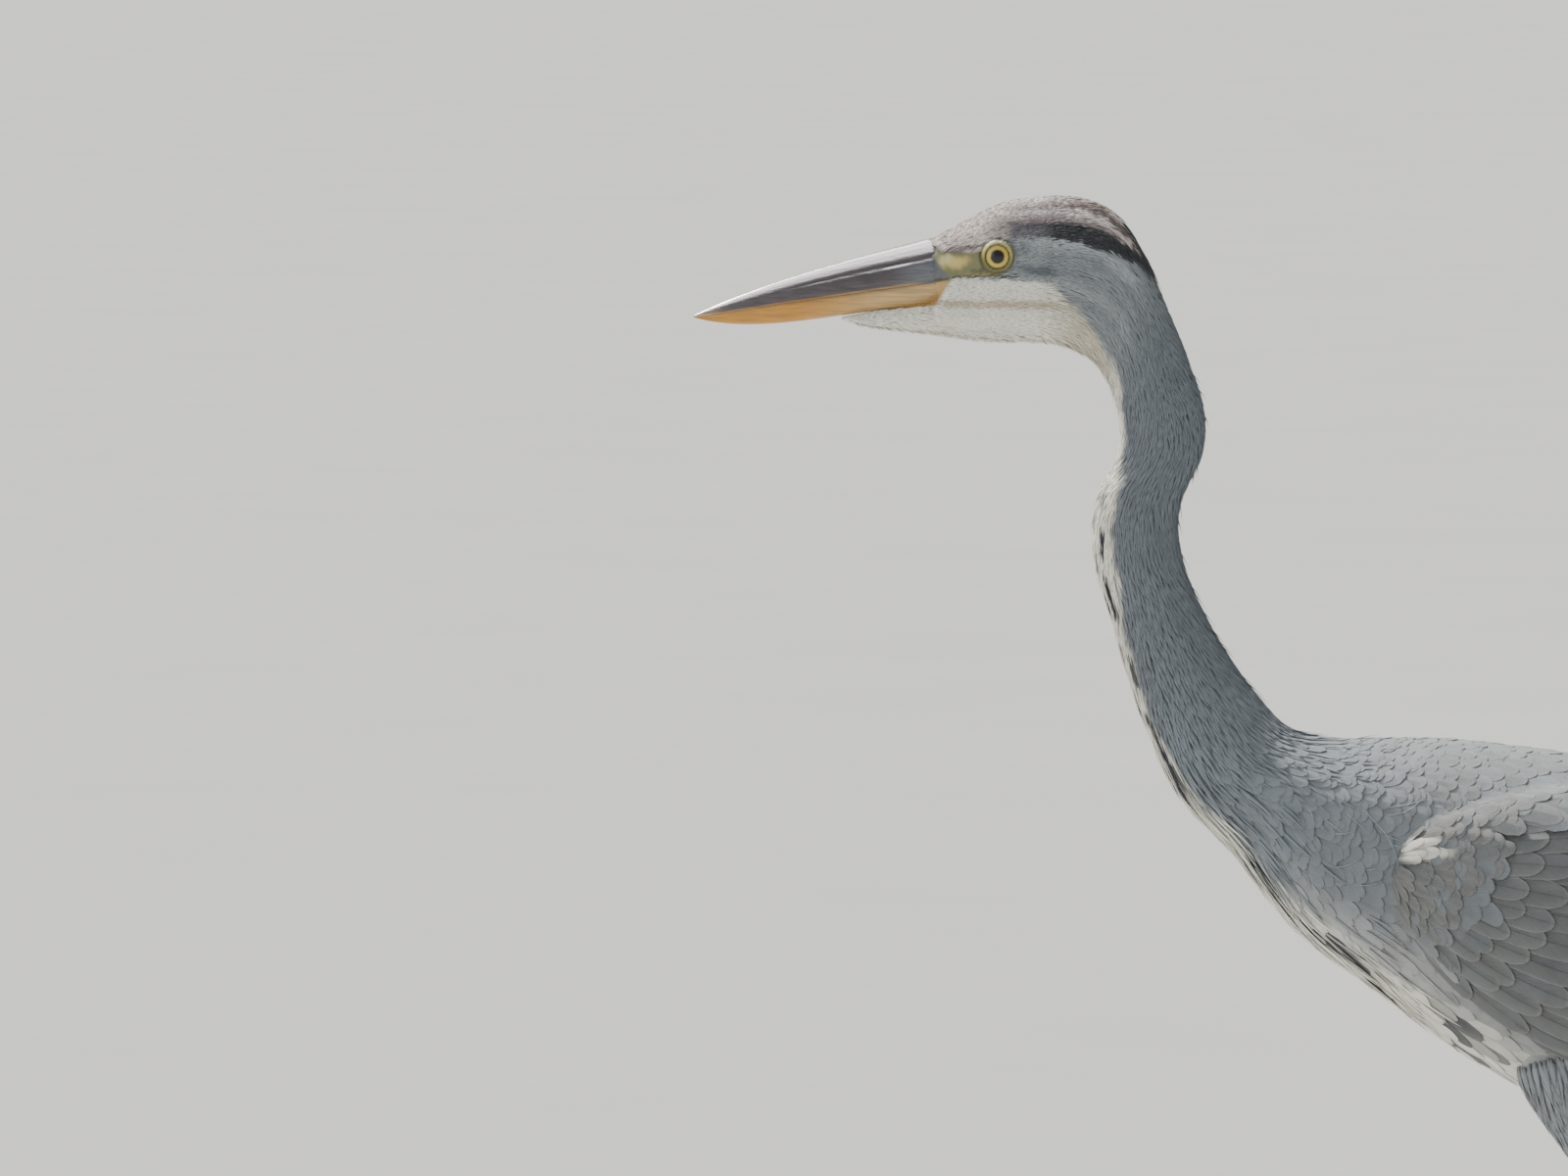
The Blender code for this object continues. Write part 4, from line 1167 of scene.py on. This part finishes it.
def make_plumes(finish):
    """Long loose plumes that hang from the lower neck over the breast."""
    plumes = Coat("coat_plumes")
    a, b = scatter(620, 15.6, 19.8, np.pi, 0.55)
    paint = coat_paint(body, a, b, 0.12, 0.08, jitter=0.001)
    plumes.grow(body, a, b, vary(0.026, 0.054, a), 0.0032, -0.003, 0.0016, paint, rings=8, shape=lance_shape,
                thick=0.0005, ragged=0.12, turn=sway(0.07, a))
    # A few hair-fine pale plumes lie loose over the shoulders
    count = 40
    a = rng.uniform(17.6, 19.8, count)
    b = rng.choice((-1.0, 1.0), count) * vary(1.05, 2.0, a)
    pale = GREY * vary(1.3, 2.0, a)[:, None]
    plumes.grow(coat_face, a, b, vary(0.016, 0.034, a), 0.0007, -0.001, 0.0011, plain_paint(pale), rings=9,
                shape=lance_shape, thick=0.00025, turn=sway(0.22, a), bend=sway(0.8, a))
    plumes.build(finish, "body_feathers")


def make_thigh_coat(finish):
    """Soft grey feathers down each thigh."""
    for word in SIDES:
        coat = Coat("coat_thigh_" + word, flat_unwrap(0.02, 0.06, 0.03, 0.01))
        a, b = tile(thigh(word), (0.22, 0.97), FULL_TURN, 0.0042, 0.0026)
        tint = mix(GREY, BELLY_WHITE, 0.22) * (1 + vary(-0.12, 0.12, a)[:, None])
        length = np.interp(a, (0.2, 1), (0.018, 0.010)) * vary(0.8, 1.2, a)
        coat.grow(thigh(word), a, b, length, 0.0042, -0.003 * (1 - a) - 0.0008, 0.0004, plain_paint(tint),
                  rings=5, thick=0.0004, turn=sway(0.08, a))
        coat.build(finish, "body_feathers")


# ---------------------------------------------------------------- wings and tail

# Rows of coverts: root share in the middle, length, spacing, width, depth of the root, tone
WING_ROWS = (
    (0.275, 0.128, 0.0106, 0.0215, 0.0036, 1.00),
    (0.236, 0.106, 0.0100, 0.0200, 0.0035, 1.03),
    (0.198, 0.082, 0.0092, 0.0180, 0.0034, 1.06),
    (0.168, 0.061, 0.0084, 0.0160, 0.0033, 1.10),
    (0.142, 0.046, 0.0076, 0.0142, 0.0032, 1.13),
    (0.118, 0.036, 0.0068, 0.0124, 0.0031, 1.16),
)
WING_SLANT = 0.11
# The white patch at the wrist, in millimetres from the side: its middle, size and core
WRIST_PATCH = ((-50.6, 395), (17.25, 5.52), 0.8 / 1.15)
# Primaries, secondaries, tertials: root share, tip share of the lowest and highest feather, the same two's
# places from top to bottom, count, width, how far out root and tip lie, colour
QUILL_ROWS = (
    (0.48, 0.92, 0.995, 0.93, 0.34, 8, 0.030, -0.0024, -0.0009, (0.050, 0.054, 0.062)),
    (0.34, 0.64, 0.88, 0.97, 0.40, 15, 0.028, -0.0028, -0.0004, (0.090, 0.097, 0.105)),
    (0.28, 0.72, 0.94, 0.62, 0.08, 8, 0.036, -0.0026, 0.0004, (0.165, 0.172, 0.174)),
)
WING_FEATHER = dict(section=VANE, crowd=1.8, thick=0.0004, tilt=0.030, step=(0.004, 0.004))
TAIL_QUILLS = 12


def make_wing_bed(word, finish):
    """The closed body of a folded wing, on which its feathers lie."""
    surface, rings = wing_face(SIDES[word]), []
    for share in np.linspace(0, 0.96, 60):
        v = 0.45 + (np.linspace(0, 1, 22) - 0.45) * (1 - 0.75 * smooth(0.76, 0.97, share))
        at = np.full_like(v, share)
        outer = surface(at, v, -0.0022 * min(1, 3 * (1.02 - share)))
        inner = surface(at, v[::-1], -wing_height(at, v[::-1]) - 0.0018 + 0.0010 * share)
        rings.append(np.concatenate([outer, inner]))
    bed = loft("wing_bed_" + word, rings)
    if SIDES[word] > 0:
        bed.data.flip_normals()
    paint_points(bed, WING_GREY * 0.7)
    piece(bed, finish, "flight_feathers", ["wing_" + word])


def wing_paint(base, a, edge=0.45, shaft=0.5, tone=0.08):
    """Wing feathers: grey, with a pale edge and a dark shaft."""
    base = base * (1 + vary(-tone, tone, a)[:, None])

    def paint(points, places):
        k, t = np.abs(places[..., :1]), places[..., 1:]
        # Darker towards the root: painted shade under the overlapping feathers
        colour = base[:, None, None] * (0.88 + 0.20 * t)
        rim = np.clip(smooth(0.84, 1, k) * 0.8 + smooth(0.93, 0.995, t), 0, 1) * edge
        return (colour + (VANE_EDGE - colour) * rim) * (1 - shaft * smooth(0.12, 0, k))

    return paint


def make_wing_quills(word, finish):
    """Flight feathers of one folded wing."""
    surface, shares = wing_face(SIDES[word]), np.linspace(0, 1, 200)
    arc = arc_length(surface(shares, np.full_like(shares, 0.5), 0))
    quills = Coat("wing_quills_" + word, flat_unwrap(0.03, 0.05, 0.5, 0.4))
    for start, low_tip, high_tip, v_low, v_high, count, width, root, tip, colour in QUILL_ROWS:
        order = np.linspace(0, 1, count)
        a, b = start + 0.02 * order, v_low + (v_high - v_low) * order
        ends = low_tip + (high_tip - low_tip) * order
        length = np.interp(ends, shares, arc) - np.interp(a, shares, arc)
        paint = wing_paint(np.array(colour), a)
        quills.grow(surface, a, b, length, width, root, tip + 0.0005 * order, paint, shape=quill_shape,
                    rings=18, ragged=0.012, taper=True, **WING_FEATHER)
    quills.build(finish, "flight_feathers", ["wing_tip_" + word], sharp=50)


def wing_row(surface, share, spacing):
    """Evenly spaced roots from the wing's top edge to its bottom edge."""
    v = np.linspace(0, 1, 120)
    arc = arc_length(surface(np.full_like(v, share), v, 0))
    count = int(arc[-1] / spacing)
    b = np.interp((np.arange(count) + 0.5) * arc[-1] / count, arc, v)
    return share + vary(-0.004, 0.004, b) + WING_SLANT * (0.5 - b), b


def make_wing_coverts(word, finish):
    """Coverts of one folded wing, from the hindmost row to the wrist, with its white patch."""
    surface = wing_face(SIDES[word])
    coverts = Coat("wing_coverts_" + word, flat_unwrap(0.03, 0.05, 0.5, 0.4))
    for start, length, spacing, width, depth, tone in WING_ROWS:
        a, b = wing_row(surface, start, spacing)
        length = length * (0.90 + 0.12 * np.sin(np.pi * b)) * vary(0.94, 1.05, a)
        tint = WING_GREY * tone * (1 + sway(0.03, a)[:, None] * (0.4, 0.1, -0.4))
        coverts.grow(surface, a, b, length, width, -depth, 0.0002, wing_paint(tint, a, tone=0.05), rings=11,
                     ragged=0.03, cup=0.02, shape=vane_shape, turn=0.05 + sway(0.03, a), **WING_FEATHER)
    size = graded((0, 0.03, 0.10, 0.16), (0.0026, 0.0034, 0.0050, 0.0062))
    a, b = tile(surface, (0.003, 0.150), (0, 1), 1.25, 1.0, size, step=(0.004, 0.004), jitter=0.25)
    keep = a < 0.115 + WING_SLANT * (0.5 - b)
    a, b = a[keep], b[keep]
    grey = mix(WING_GREY * 1.22, WING_BROWN, vary(0, 0.4, a))
    length = size(a) * 4.2 * vary(0.85, 1.15, a)
    plain = wing_paint(grey, a, 0.22, 0.12)
    shift = rng.normal(0, 0.0009, (len(a), 1, 1, 3))

    def paint(points, places):
        return mix(plain(points, places), WHITE * 0.9, spot(*side_on(points + shift), *WRIST_PATCH))

    coverts.grow(surface, a, b, length, size(a) * 1.75, -0.0026, 0.0004, paint, rings=8, ragged=0.09,
                 rise=0.5, turn=sway(0.08, a), step=(0.004, 0.004), **SMALL_FEATHER)
    coverts.build(finish, "flight_feathers", sharp=50)


def make_scapulars(finish):
    """Shoulder and back feathers, long ones over the wings' upper edges."""
    coat = Coat("scapulars")
    size = graded((19.2, 21, 23, 25.5), (0.0058, 0.0082, 0.0110, 0.0120))
    for side in SIDES.values():
        a, b = tile(coat_face, (19.4, 25.4), (0, 1), 1.4, 1.0, size, jitter=0.25)
        b = side * b * np.interp(a, (19.2, 20.5, 22, 24, 26), (1.10, 0.95, 0.75, 0.48, 0.30))
        grown = np.interp(a, (19.2, 21.5, 24, 25.6), (4, 5.4, 7, 7.6))
        length = size(a) * grown * vary(0.88, 1.12, a)
        lift = np.interp(a, (19.2, 21, 26), (0.0004, 0.0007, 0.0010))
        # Paler towards the back's midline: painted sunlight
        colour = mix(BACK_GREY * 1.05, GREY, vary(0, 0.8, a)) * sunlit_back_paint(np.abs(b))
        coat.grow(coat_face, a, b, length, size(a) * 1.7, -0.0024, lift, wing_paint(colour, a, 0.25, 0.12),
                  rings=11, ragged=0.07, rise=0.45, turn=side * 0.10 + sway(0.06, a), **SMALL_FEATHER)
    coat.build(finish, "body_feathers", sharp=50)


def tail_fan(a, b, out):
    """The flat fan of the tail: a runs back along it in metres, b across it from -1 to 1."""
    half = np.interp(a, (0.225, 0.27, 0.335, 0.357, 0.374), (0.018, 0.0185, 0.0235, 0.0255, 0.0255))
    middle = np.interp(a, (0.225, 0.30, 0.335, 0.374), (0.3260, 0.3205, 0.3186, 0.3180))
    return np.stack([a, half * b, middle + 0.0012 * (1 - b * b) + out], -1) + SHIFT


def make_tail(finish):
    """Tail quills in a flat fan, with soft coverts over their roots."""
    quills = Coat("tail_quills", flat_unwrap(0.6, 0.5, 0.1, 0.1))
    order = np.linspace(-0.86, 0.86, TAIL_QUILLS)
    off = np.abs(order)
    root, tip = -0.0004 - 0.0010 * off, 0.0006 - 0.0014 * off
    quills.grow(tail_fan, np.full_like(order, 0.2420), order, 0.130 - 0.006 * off**2, 0.0150, root, tip,
                wing_paint(TAIL_GREY, order, 0.2), section=VANE, shape=quill_shape, rings=16, thick=0.0006,
                cup=0.01, ragged=0.015, step=(0.001, 0.01))
    quills.build(finish, "flight_feathers", ["tail"], sharp=50)
    coverts = Coat("tail_coverts", flat_unwrap(0.6, 0.8, 0.02, 0.02))
    a, b = tile(tail_round, (0.0, 2.9), (0.5 * np.pi, 1.5 * np.pi), 0.0090, 0.0070)
    white = BELLY_WHITE * vary(0.85, 1.05, a)[:, None]
    coverts.grow(tail_round, a, b, vary(0.026, 0.036, a), 0.0125, -0.006, 0.0004,
                 wing_paint(white, a, 0.1, 0.05), section=VANE, shape=vane_shape, rings=8, thick=0.0004,
                 cup=0.03, ragged=0.10)
    coverts.build(finish, "flight_feathers", sharp=50)
    bed = loft("tail_root", tail_round(*round_grid(np.linspace(0, 3, 20), 40), -0.003))
    paint_points(bed, BELLY_WHITE * 0.75)
    piece(bed, finish, "flight_feathers")


# ---------------------------------------------------------------- bill, legs and claws

# Height of the nasal groove, as a share of the upper mandible's depth
NASAL_LINE = 0.585
# The tarsus: metres above the ankle, share of the way from the ankle down to the foot, radius
TARSUS = (
    (1.05 * ANKLE_RADIUS, 0, 1.02 * SHANK_RADIUS),
    (0.45 * ANKLE_RADIUS, 0, 0.88 * ANKLE_RADIUS),
    (0, 0, ANKLE_RADIUS),
    (0, 0.05, 0.86 * ANKLE_RADIUS),
    (0, 0.12, 1.25 * TARSUS_RADIUS),
    (0, 0.24, 1.03 * TARSUS_RADIUS),
    (0, 0.60, TARSUS_RADIUS),
    (0, 0.88, 1.10 * TARSUS_RADIUS),
    (0, 0.955, 1.45 * TARSUS_RADIUS),
    (0, 1.025, 0.82 * HUB_RADIUS),
)
# The hub's radius from top to sole, in shares
HUB_SHAPE = ((0, 0.2, 0.4, 0.6, 0.8, 1), (0.55, 0.86, 0.97, 1, 0.95, 0.86))


def upper_colour(grown, share, strand, groove, slit):
    """Colours of one section of the upper mandible."""
    # Paler horn towards the culmen, partly the horn's own tone and partly a painted highlight from the light
    # above
    colour = mix(MANDIBLE, MANDIBLE * 3.4, smooth(0.52, 0.80, share) * np.clip(0.70 + 0.5 * strand, 0, 1))
    colour = mix(colour, HORN_BLUE * 0.8, smooth(0.80, 0.97, grown) * smooth(0.62, 0.40, share))
    # Darker along the nasal groove: painted shade in the recess
    colour = mix(colour, MANDIBLE * 0.7, 0.8 * groove)
    colour = mix(colour, TIP_ORANGE, 0.7 * smooth(0.16, 0.02, grown) * smooth(0.9, 0.2, share))
    edge = mix(ORANGE * 0.8, PEACH * 0.7, smooth(0.4, 0.85, grown))
    rim = smooth(0.075, 0.045, share) * smooth(0.02, 0.15, grown) * smooth(1, 0.9, grown)
    # Nearly black in the nostril: painted shade inside the opening
    return mix(mix(colour, edge, 0.85 * rim), MANDIBLE * 0.12, slit)


def upper_section(t, grown, width, turn):
    """One section of the upper mandible, with the nasal groove and nostril: across, up and colours."""
    share = np.sin(turn) ** 1.16
    groove = np.exp(-(((share - NASAL_LINE) / 0.075) ** 2)) * smooth(0.22, 0.55, grown)
    slit = np.exp(-(((share - NASAL_LINE + 0.02) / 0.028) ** 2))
    slit = slit * smooth(0.790, 0.825, grown) * smooth(0.925, 0.885, grown)
    ledge = smooth(NASAL_LINE - 0.02, NASAL_LINE - 0.20, share) * smooth(0.30, 0.7, grown)
    # Long growth streaks: fine ridges, and streaks in the paler horn towards the culmen, which is partly a
    # painted highlight
    strand = np.sin(share * 47 + 2.2 * np.sin(grown * 9)) * np.sin(share * 21 - 7 * grown)
    across = np.sign(np.cos(turn)) * np.interp(share, *BILL_ROOF) * width
    across = across * (1 - 0.06 * groove - 0.06 * slit + 0.006 * ledge)
    across = across * (1 + 0.006 * strand * smooth(0.15, 0.4, grown) * smooth(0.98, 0.9, share))
    end = smooth(0.975, 1, t)
    up = culmen_height(grown, 0.62) * share + 0.00012 - 0.0006 * end * share
    return across * (1 - 0.10 * end), up, upper_colour(grown, share, strand, groove, slit)


def lower_section(t, grown, width, turn):
    """One section of the lower mandible: across, up and colours."""
    height = LOWER_BILL_DEPTH * (1 - (1 - grown) ** 5 - 0.13 * grown**3) + 0.0004
    height += 0.0018 * smooth(0.70, 1, grown)
    share = np.sin(turn)
    # Darker along the top edge, tucked under the upper mandible: painted shade
    shade = (1 - 0.35 * smooth(0.16, 0.02, share))[:, None]
    colour = mix(ORANGE, PEACH, smooth(0.40, 0.85, grown)) * shade
    return np.cos(turn) * width * 0.985, -height * share - 0.00012, colour


def make_bill(finish):
    """Both mandibles, shut."""
    turn = np.linspace(0, np.pi, 97)
    for name, node_name, slot, section, turns in (
        ("upper_mandible", "bill_upper", "bill_dark", upper_section, turn[::-1]),
        ("lower_mandible", "bill_lower", "bill_orange", lower_section, turn),
    ):
        rings, tints = [], []
        for t in np.linspace(0, 1, 150) ** 1.3:
            x = BILL_TIP[0] + (BILL_BASE[0] - BILL_TIP[0]) * t
            across, up, colour = section(t, *bill_size(x), turns)
            rings.append(np.stack([np.full_like(turns, x), across, bill_line(x) + up], -1) + SHIFT)
            tints.append(colour)
        mandible = loft(name, rings)
        paint_points(mandible, np.concatenate(tints))
        mandible.data.set_sharp_from_angle(angle=math.radians(55))
        piece(mandible, finish, slot, [node_name])


def limb(name, points, radii, count, flatten, finish, slot, nodes, tint, ridge=0.0, floor=0.0):
    """A closed limb through points, with round sections square to its path."""
    along = np.gradient(points, axis=0)
    along /= np.linalg.norm(along, axis=1, keepdims=True)
    across = np.cross(along, (0, 1, 0))
    level = np.linalg.norm(across, axis=1) < 0.7
    across[level] = np.cross(along[level], (1, 0, 0))
    across /= np.linalg.norm(across, axis=1, keepdims=True)
    side = flatten * np.cross(across, along)
    turns = np.linspace(0, TAU, count + 1)[:-1]
    radius = radii[:, None] * (1 + ridge * np.cos(3 * turns))
    rings = points[:, None] + across[:, None] * (radius * np.cos(turns))[..., None]
    rings = rings + side[:, None] * (radius * np.sin(turns))[..., None]
    rings[..., 2] = np.maximum(rings[..., 2], floor)
    made = loft(name, rings)
    bm = bmesh.new()
    bm.from_mesh(made.data)
    bmesh.ops.recalc_face_normals(bm, faces=bm.faces[:])
    bm.to_mesh(made.data)
    bm.free()
    paint_points(made, np.broadcast_to(tint, rings.shape).reshape(-1, 3))
    piece(made, finish, slot, nodes)


def saw(value):
    """Overlapping scutes: from -0.5 up to 0.5 over each unit."""
    return np.remainder(value, 1.0) - 0.5


def make_legs(skin, horn):
    """Bare shanks, tarsi with their scutes, toes with pads, and claws."""
    for word, side in SIDES.items():
        _, end, ankle, foot = leg_joints(word)
        up = (end - ankle) / np.linalg.norm(end - ankle)
        start = end + up * 0.006
        t = np.linspace(0, 1, 60)
        shank = start + t[:, None] * (ankle + up * ANKLE_RADIUS * 0.9 - start)
        limb("shank_skin_" + word, shank, SHANK_RADIUS * (1 + 0.12 * t * t + 0.021 * saw(t * 16)), 28, 1.0,
             skin, "leg_skin", ["shank_" + word], LEG_GREEN * 0.9)
        above, share, radii = np.transpose(TARSUS)[..., None]
        path = np.hstack([ankle + above * up + share * (foot - ankle), radii])
        fine = np.linspace(0, 1, 240)
        places = arc_length(path[:, :3])
        rows = blend(path, np.interp(fine, places / places[-1], np.arange(len(path))))
        scutes = 0.045 * saw(fine * 46) * smooth(0.06, 0.14, fine)
        tint = mix(LEG_GREY, LEG_GREEN, smooth(0.25, 0, fine))[:, None]
        limb("tarsus_skin_" + word, rows[:, :3], rows[:, 3] * (1 + scutes), 32, 0.86, skin, "leg_skin",
             ["tarsus_" + word], tint)
        pad = np.linspace(0, 1, 24)
        hub = foot + (0, 0, 0.0006) - pad[:, None] * (0, 0, FOOT_HEIGHT)
        limb("hub_skin_" + word, hub, HUB_RADIUS * np.interp(pad, *HUB_SHAPE), 32, 0.95, skin, "leg_skin", [],
             LEG_GREY)
        for toe in TOES:
            make_toe(word, foot, toe, skin, horn)


def make_toe(word, foot, toe, skin, horn):
    """One toe with its pads and scutes, and its curved claw."""
    name, length, heading, radius, pads, claw_length = toe
    heading = math.radians(heading)
    ahead = np.array((-math.cos(heading), SIDES[word] * math.sin(heading), 0))
    t = np.linspace(0, 1, 60 + 30 * pads)
    thick = radius * (1 - 0.38 * t) * (1 - 0.10 * np.cos(TAU * pads * t))
    thick = thick * (1 - 0.30 * np.maximum(0, 1 - length * t / 0.010)) * (1 + 0.05 * saw(t * 7 * pads + 3))
    path = foot * (1, 1, 0) + ahead * (HUB_RADIUS * 0.8 + (length + HUB_RADIUS * 0.2) * t)[:, None]
    path[:, 2] = thick * 0.75 + 0.0032 * np.maximum(0, 1 - 5 * t) ** 2
    limb(f"toe_skin_{name}_{word}", path, thick, 24, 1.0, skin, "leg_skin", [f"toe_{name}_{word}"], LEG_GREY,
         ridge=0.03)
    u = np.linspace(0, 1, 24)
    girth = thick[-1] * 0.74 * (1 - 0.93 * u**1.1)
    claw = path[-1] + ahead * (claw_length * u - 0.0008)[:, None]
    claw[:, 2] += 0.0020 * np.sin(np.pi * u) - (path[-1, 2] - 0.0006 - girth) * u**1.6
    limb(f"claw_horn_{name}_{word}", claw, girth, 20, 0.8, horn, "claw_horn", [f"claw_{name}_{word}"], CLAW,
         floor=0.0002)


# ---------------------------------------------------------------- floor, light and camera

CAMERA_HEIGHT_ANGLE = 4.0
CAMERA_DISTANCE = 6.0
VIEW_WIDTH = 0.744
AIM = (-0.3511, 0.0, 0.5138)
SENSOR_WIDTH = 36.0
LIGHT_AIM = (-0.1, 0.0, 0.45)
# Name, kind, energy, place, and the light's other values
LAMPS = (
    ("key", "SUN", 8.0, (-0.8, 0.75, 2.0), {"angle": math.radians(9), "color": (1.0, 0.965, 0.90)}),
    ("fill", "AREA", 18.0, (-1.9, -2.2, 1.2), {"shape": "DISK", "size": 1.8}),
    ("top", "AREA", 75.0, (-0.5, -0.1, 2.4), {"shape": "DISK", "size": 1.5}),
)


def floor_colour(tree, place):
    """A nearly even pale grey."""
    noise = node(tree, "TexNoise", in_Vector=place, in_Scale=3, in_Detail=3)
    return (ramp(tree, noise, ((0.3, (0.392, 0.396, 0.396)), (0.7, (0.412, 0.416, 0.416)))),)


def aim_at(holder, place, target):
    """Puts a lamp or the camera at a place, facing a target."""
    holder.location = place
    holder.rotation_euler = (Vector(target) - Vector(place)).to_track_quat("-Z", "Y").to_euler()


def make_stage():
    """A pale floor that runs out of sight, and soft lights."""
    bpy.ops.mesh.primitive_plane_add(size=600.0, location=(0, 0, -0.0002))
    floor = bpy.context.object
    floor.name = "floor"
    floor.data.materials.append(material("floor", floor_colour, Roughness=0.9))
    world = bpy.data.worlds.new("studio")
    bpy.context.scene.world = world
    world.use_nodes = True
    world.node_tree.nodes["Background"].inputs["Color"].default_value = (0.88, 0.95, 1.0, 1.0)
    world.node_tree.nodes["Background"].inputs["Strength"].default_value = 0.44
    for name, kind, energy, place, values in LAMPS:
        lamp = bpy.data.lights.new(name, kind)
        lamp.energy = energy
        for key, value in values.items():
            setattr(lamp, key, value)
        holder = link(name, lamp)
        aim_at(holder, place, LIGHT_AIM)
        # The overhead lamp gives only the gloss on bill and feathers
        holder.visible_diffuse = name != "top"


def make_camera():
    """A long lens at the bird's left side, a little above it."""
    lens = bpy.data.cameras.new("camera")
    lens.sensor_width = SENSOR_WIDTH
    lens.lens = SENSOR_WIDTH * CAMERA_DISTANCE / VIEW_WIDTH
    lens.clip_end = 200.0
    lift = math.radians(CAMERA_HEIGHT_ANGLE)
    aim = Vector(AIM) + Vector(SHIFT)
    camera = link("camera", lens)
    aim_at(camera, aim + CAMERA_DISTANCE * Vector((0, -math.cos(lift), math.sin(lift))), aim)
    bpy.context.scene.camera = camera


make_camera()
make_stage()
tufts = feather_material("tufts", 0.0007, 0.15, 0.10)
vanes = feather_material("vanes", 0.0012, 0.60, 0.20)
soft = feather_material("soft_vanes", 0.0011, 0.50, 0.18, sheen=0.2)
horn = horn_material("horn", (0.72, 1.28), 0.29, 0.8)
make_skin(skin_material())
make_eyes(eye_material())
make_bill(horn)
make_head_coat(tufts)
make_chin_coat(tufts)
make_neck_coat(tufts)
make_breast_coat(soft)
make_plumes(tufts)
make_thigh_coat(tufts)
for word in SIDES:
    make_wing_bed(word, vanes)
    make_wing_quills(word, vanes)
    make_wing_coverts(word, vanes)
make_scapulars(soft)
make_tail(vanes)
make_legs(leg_material(), horn_material("claw", (0.8, 1.2), 0.3, 0.3))
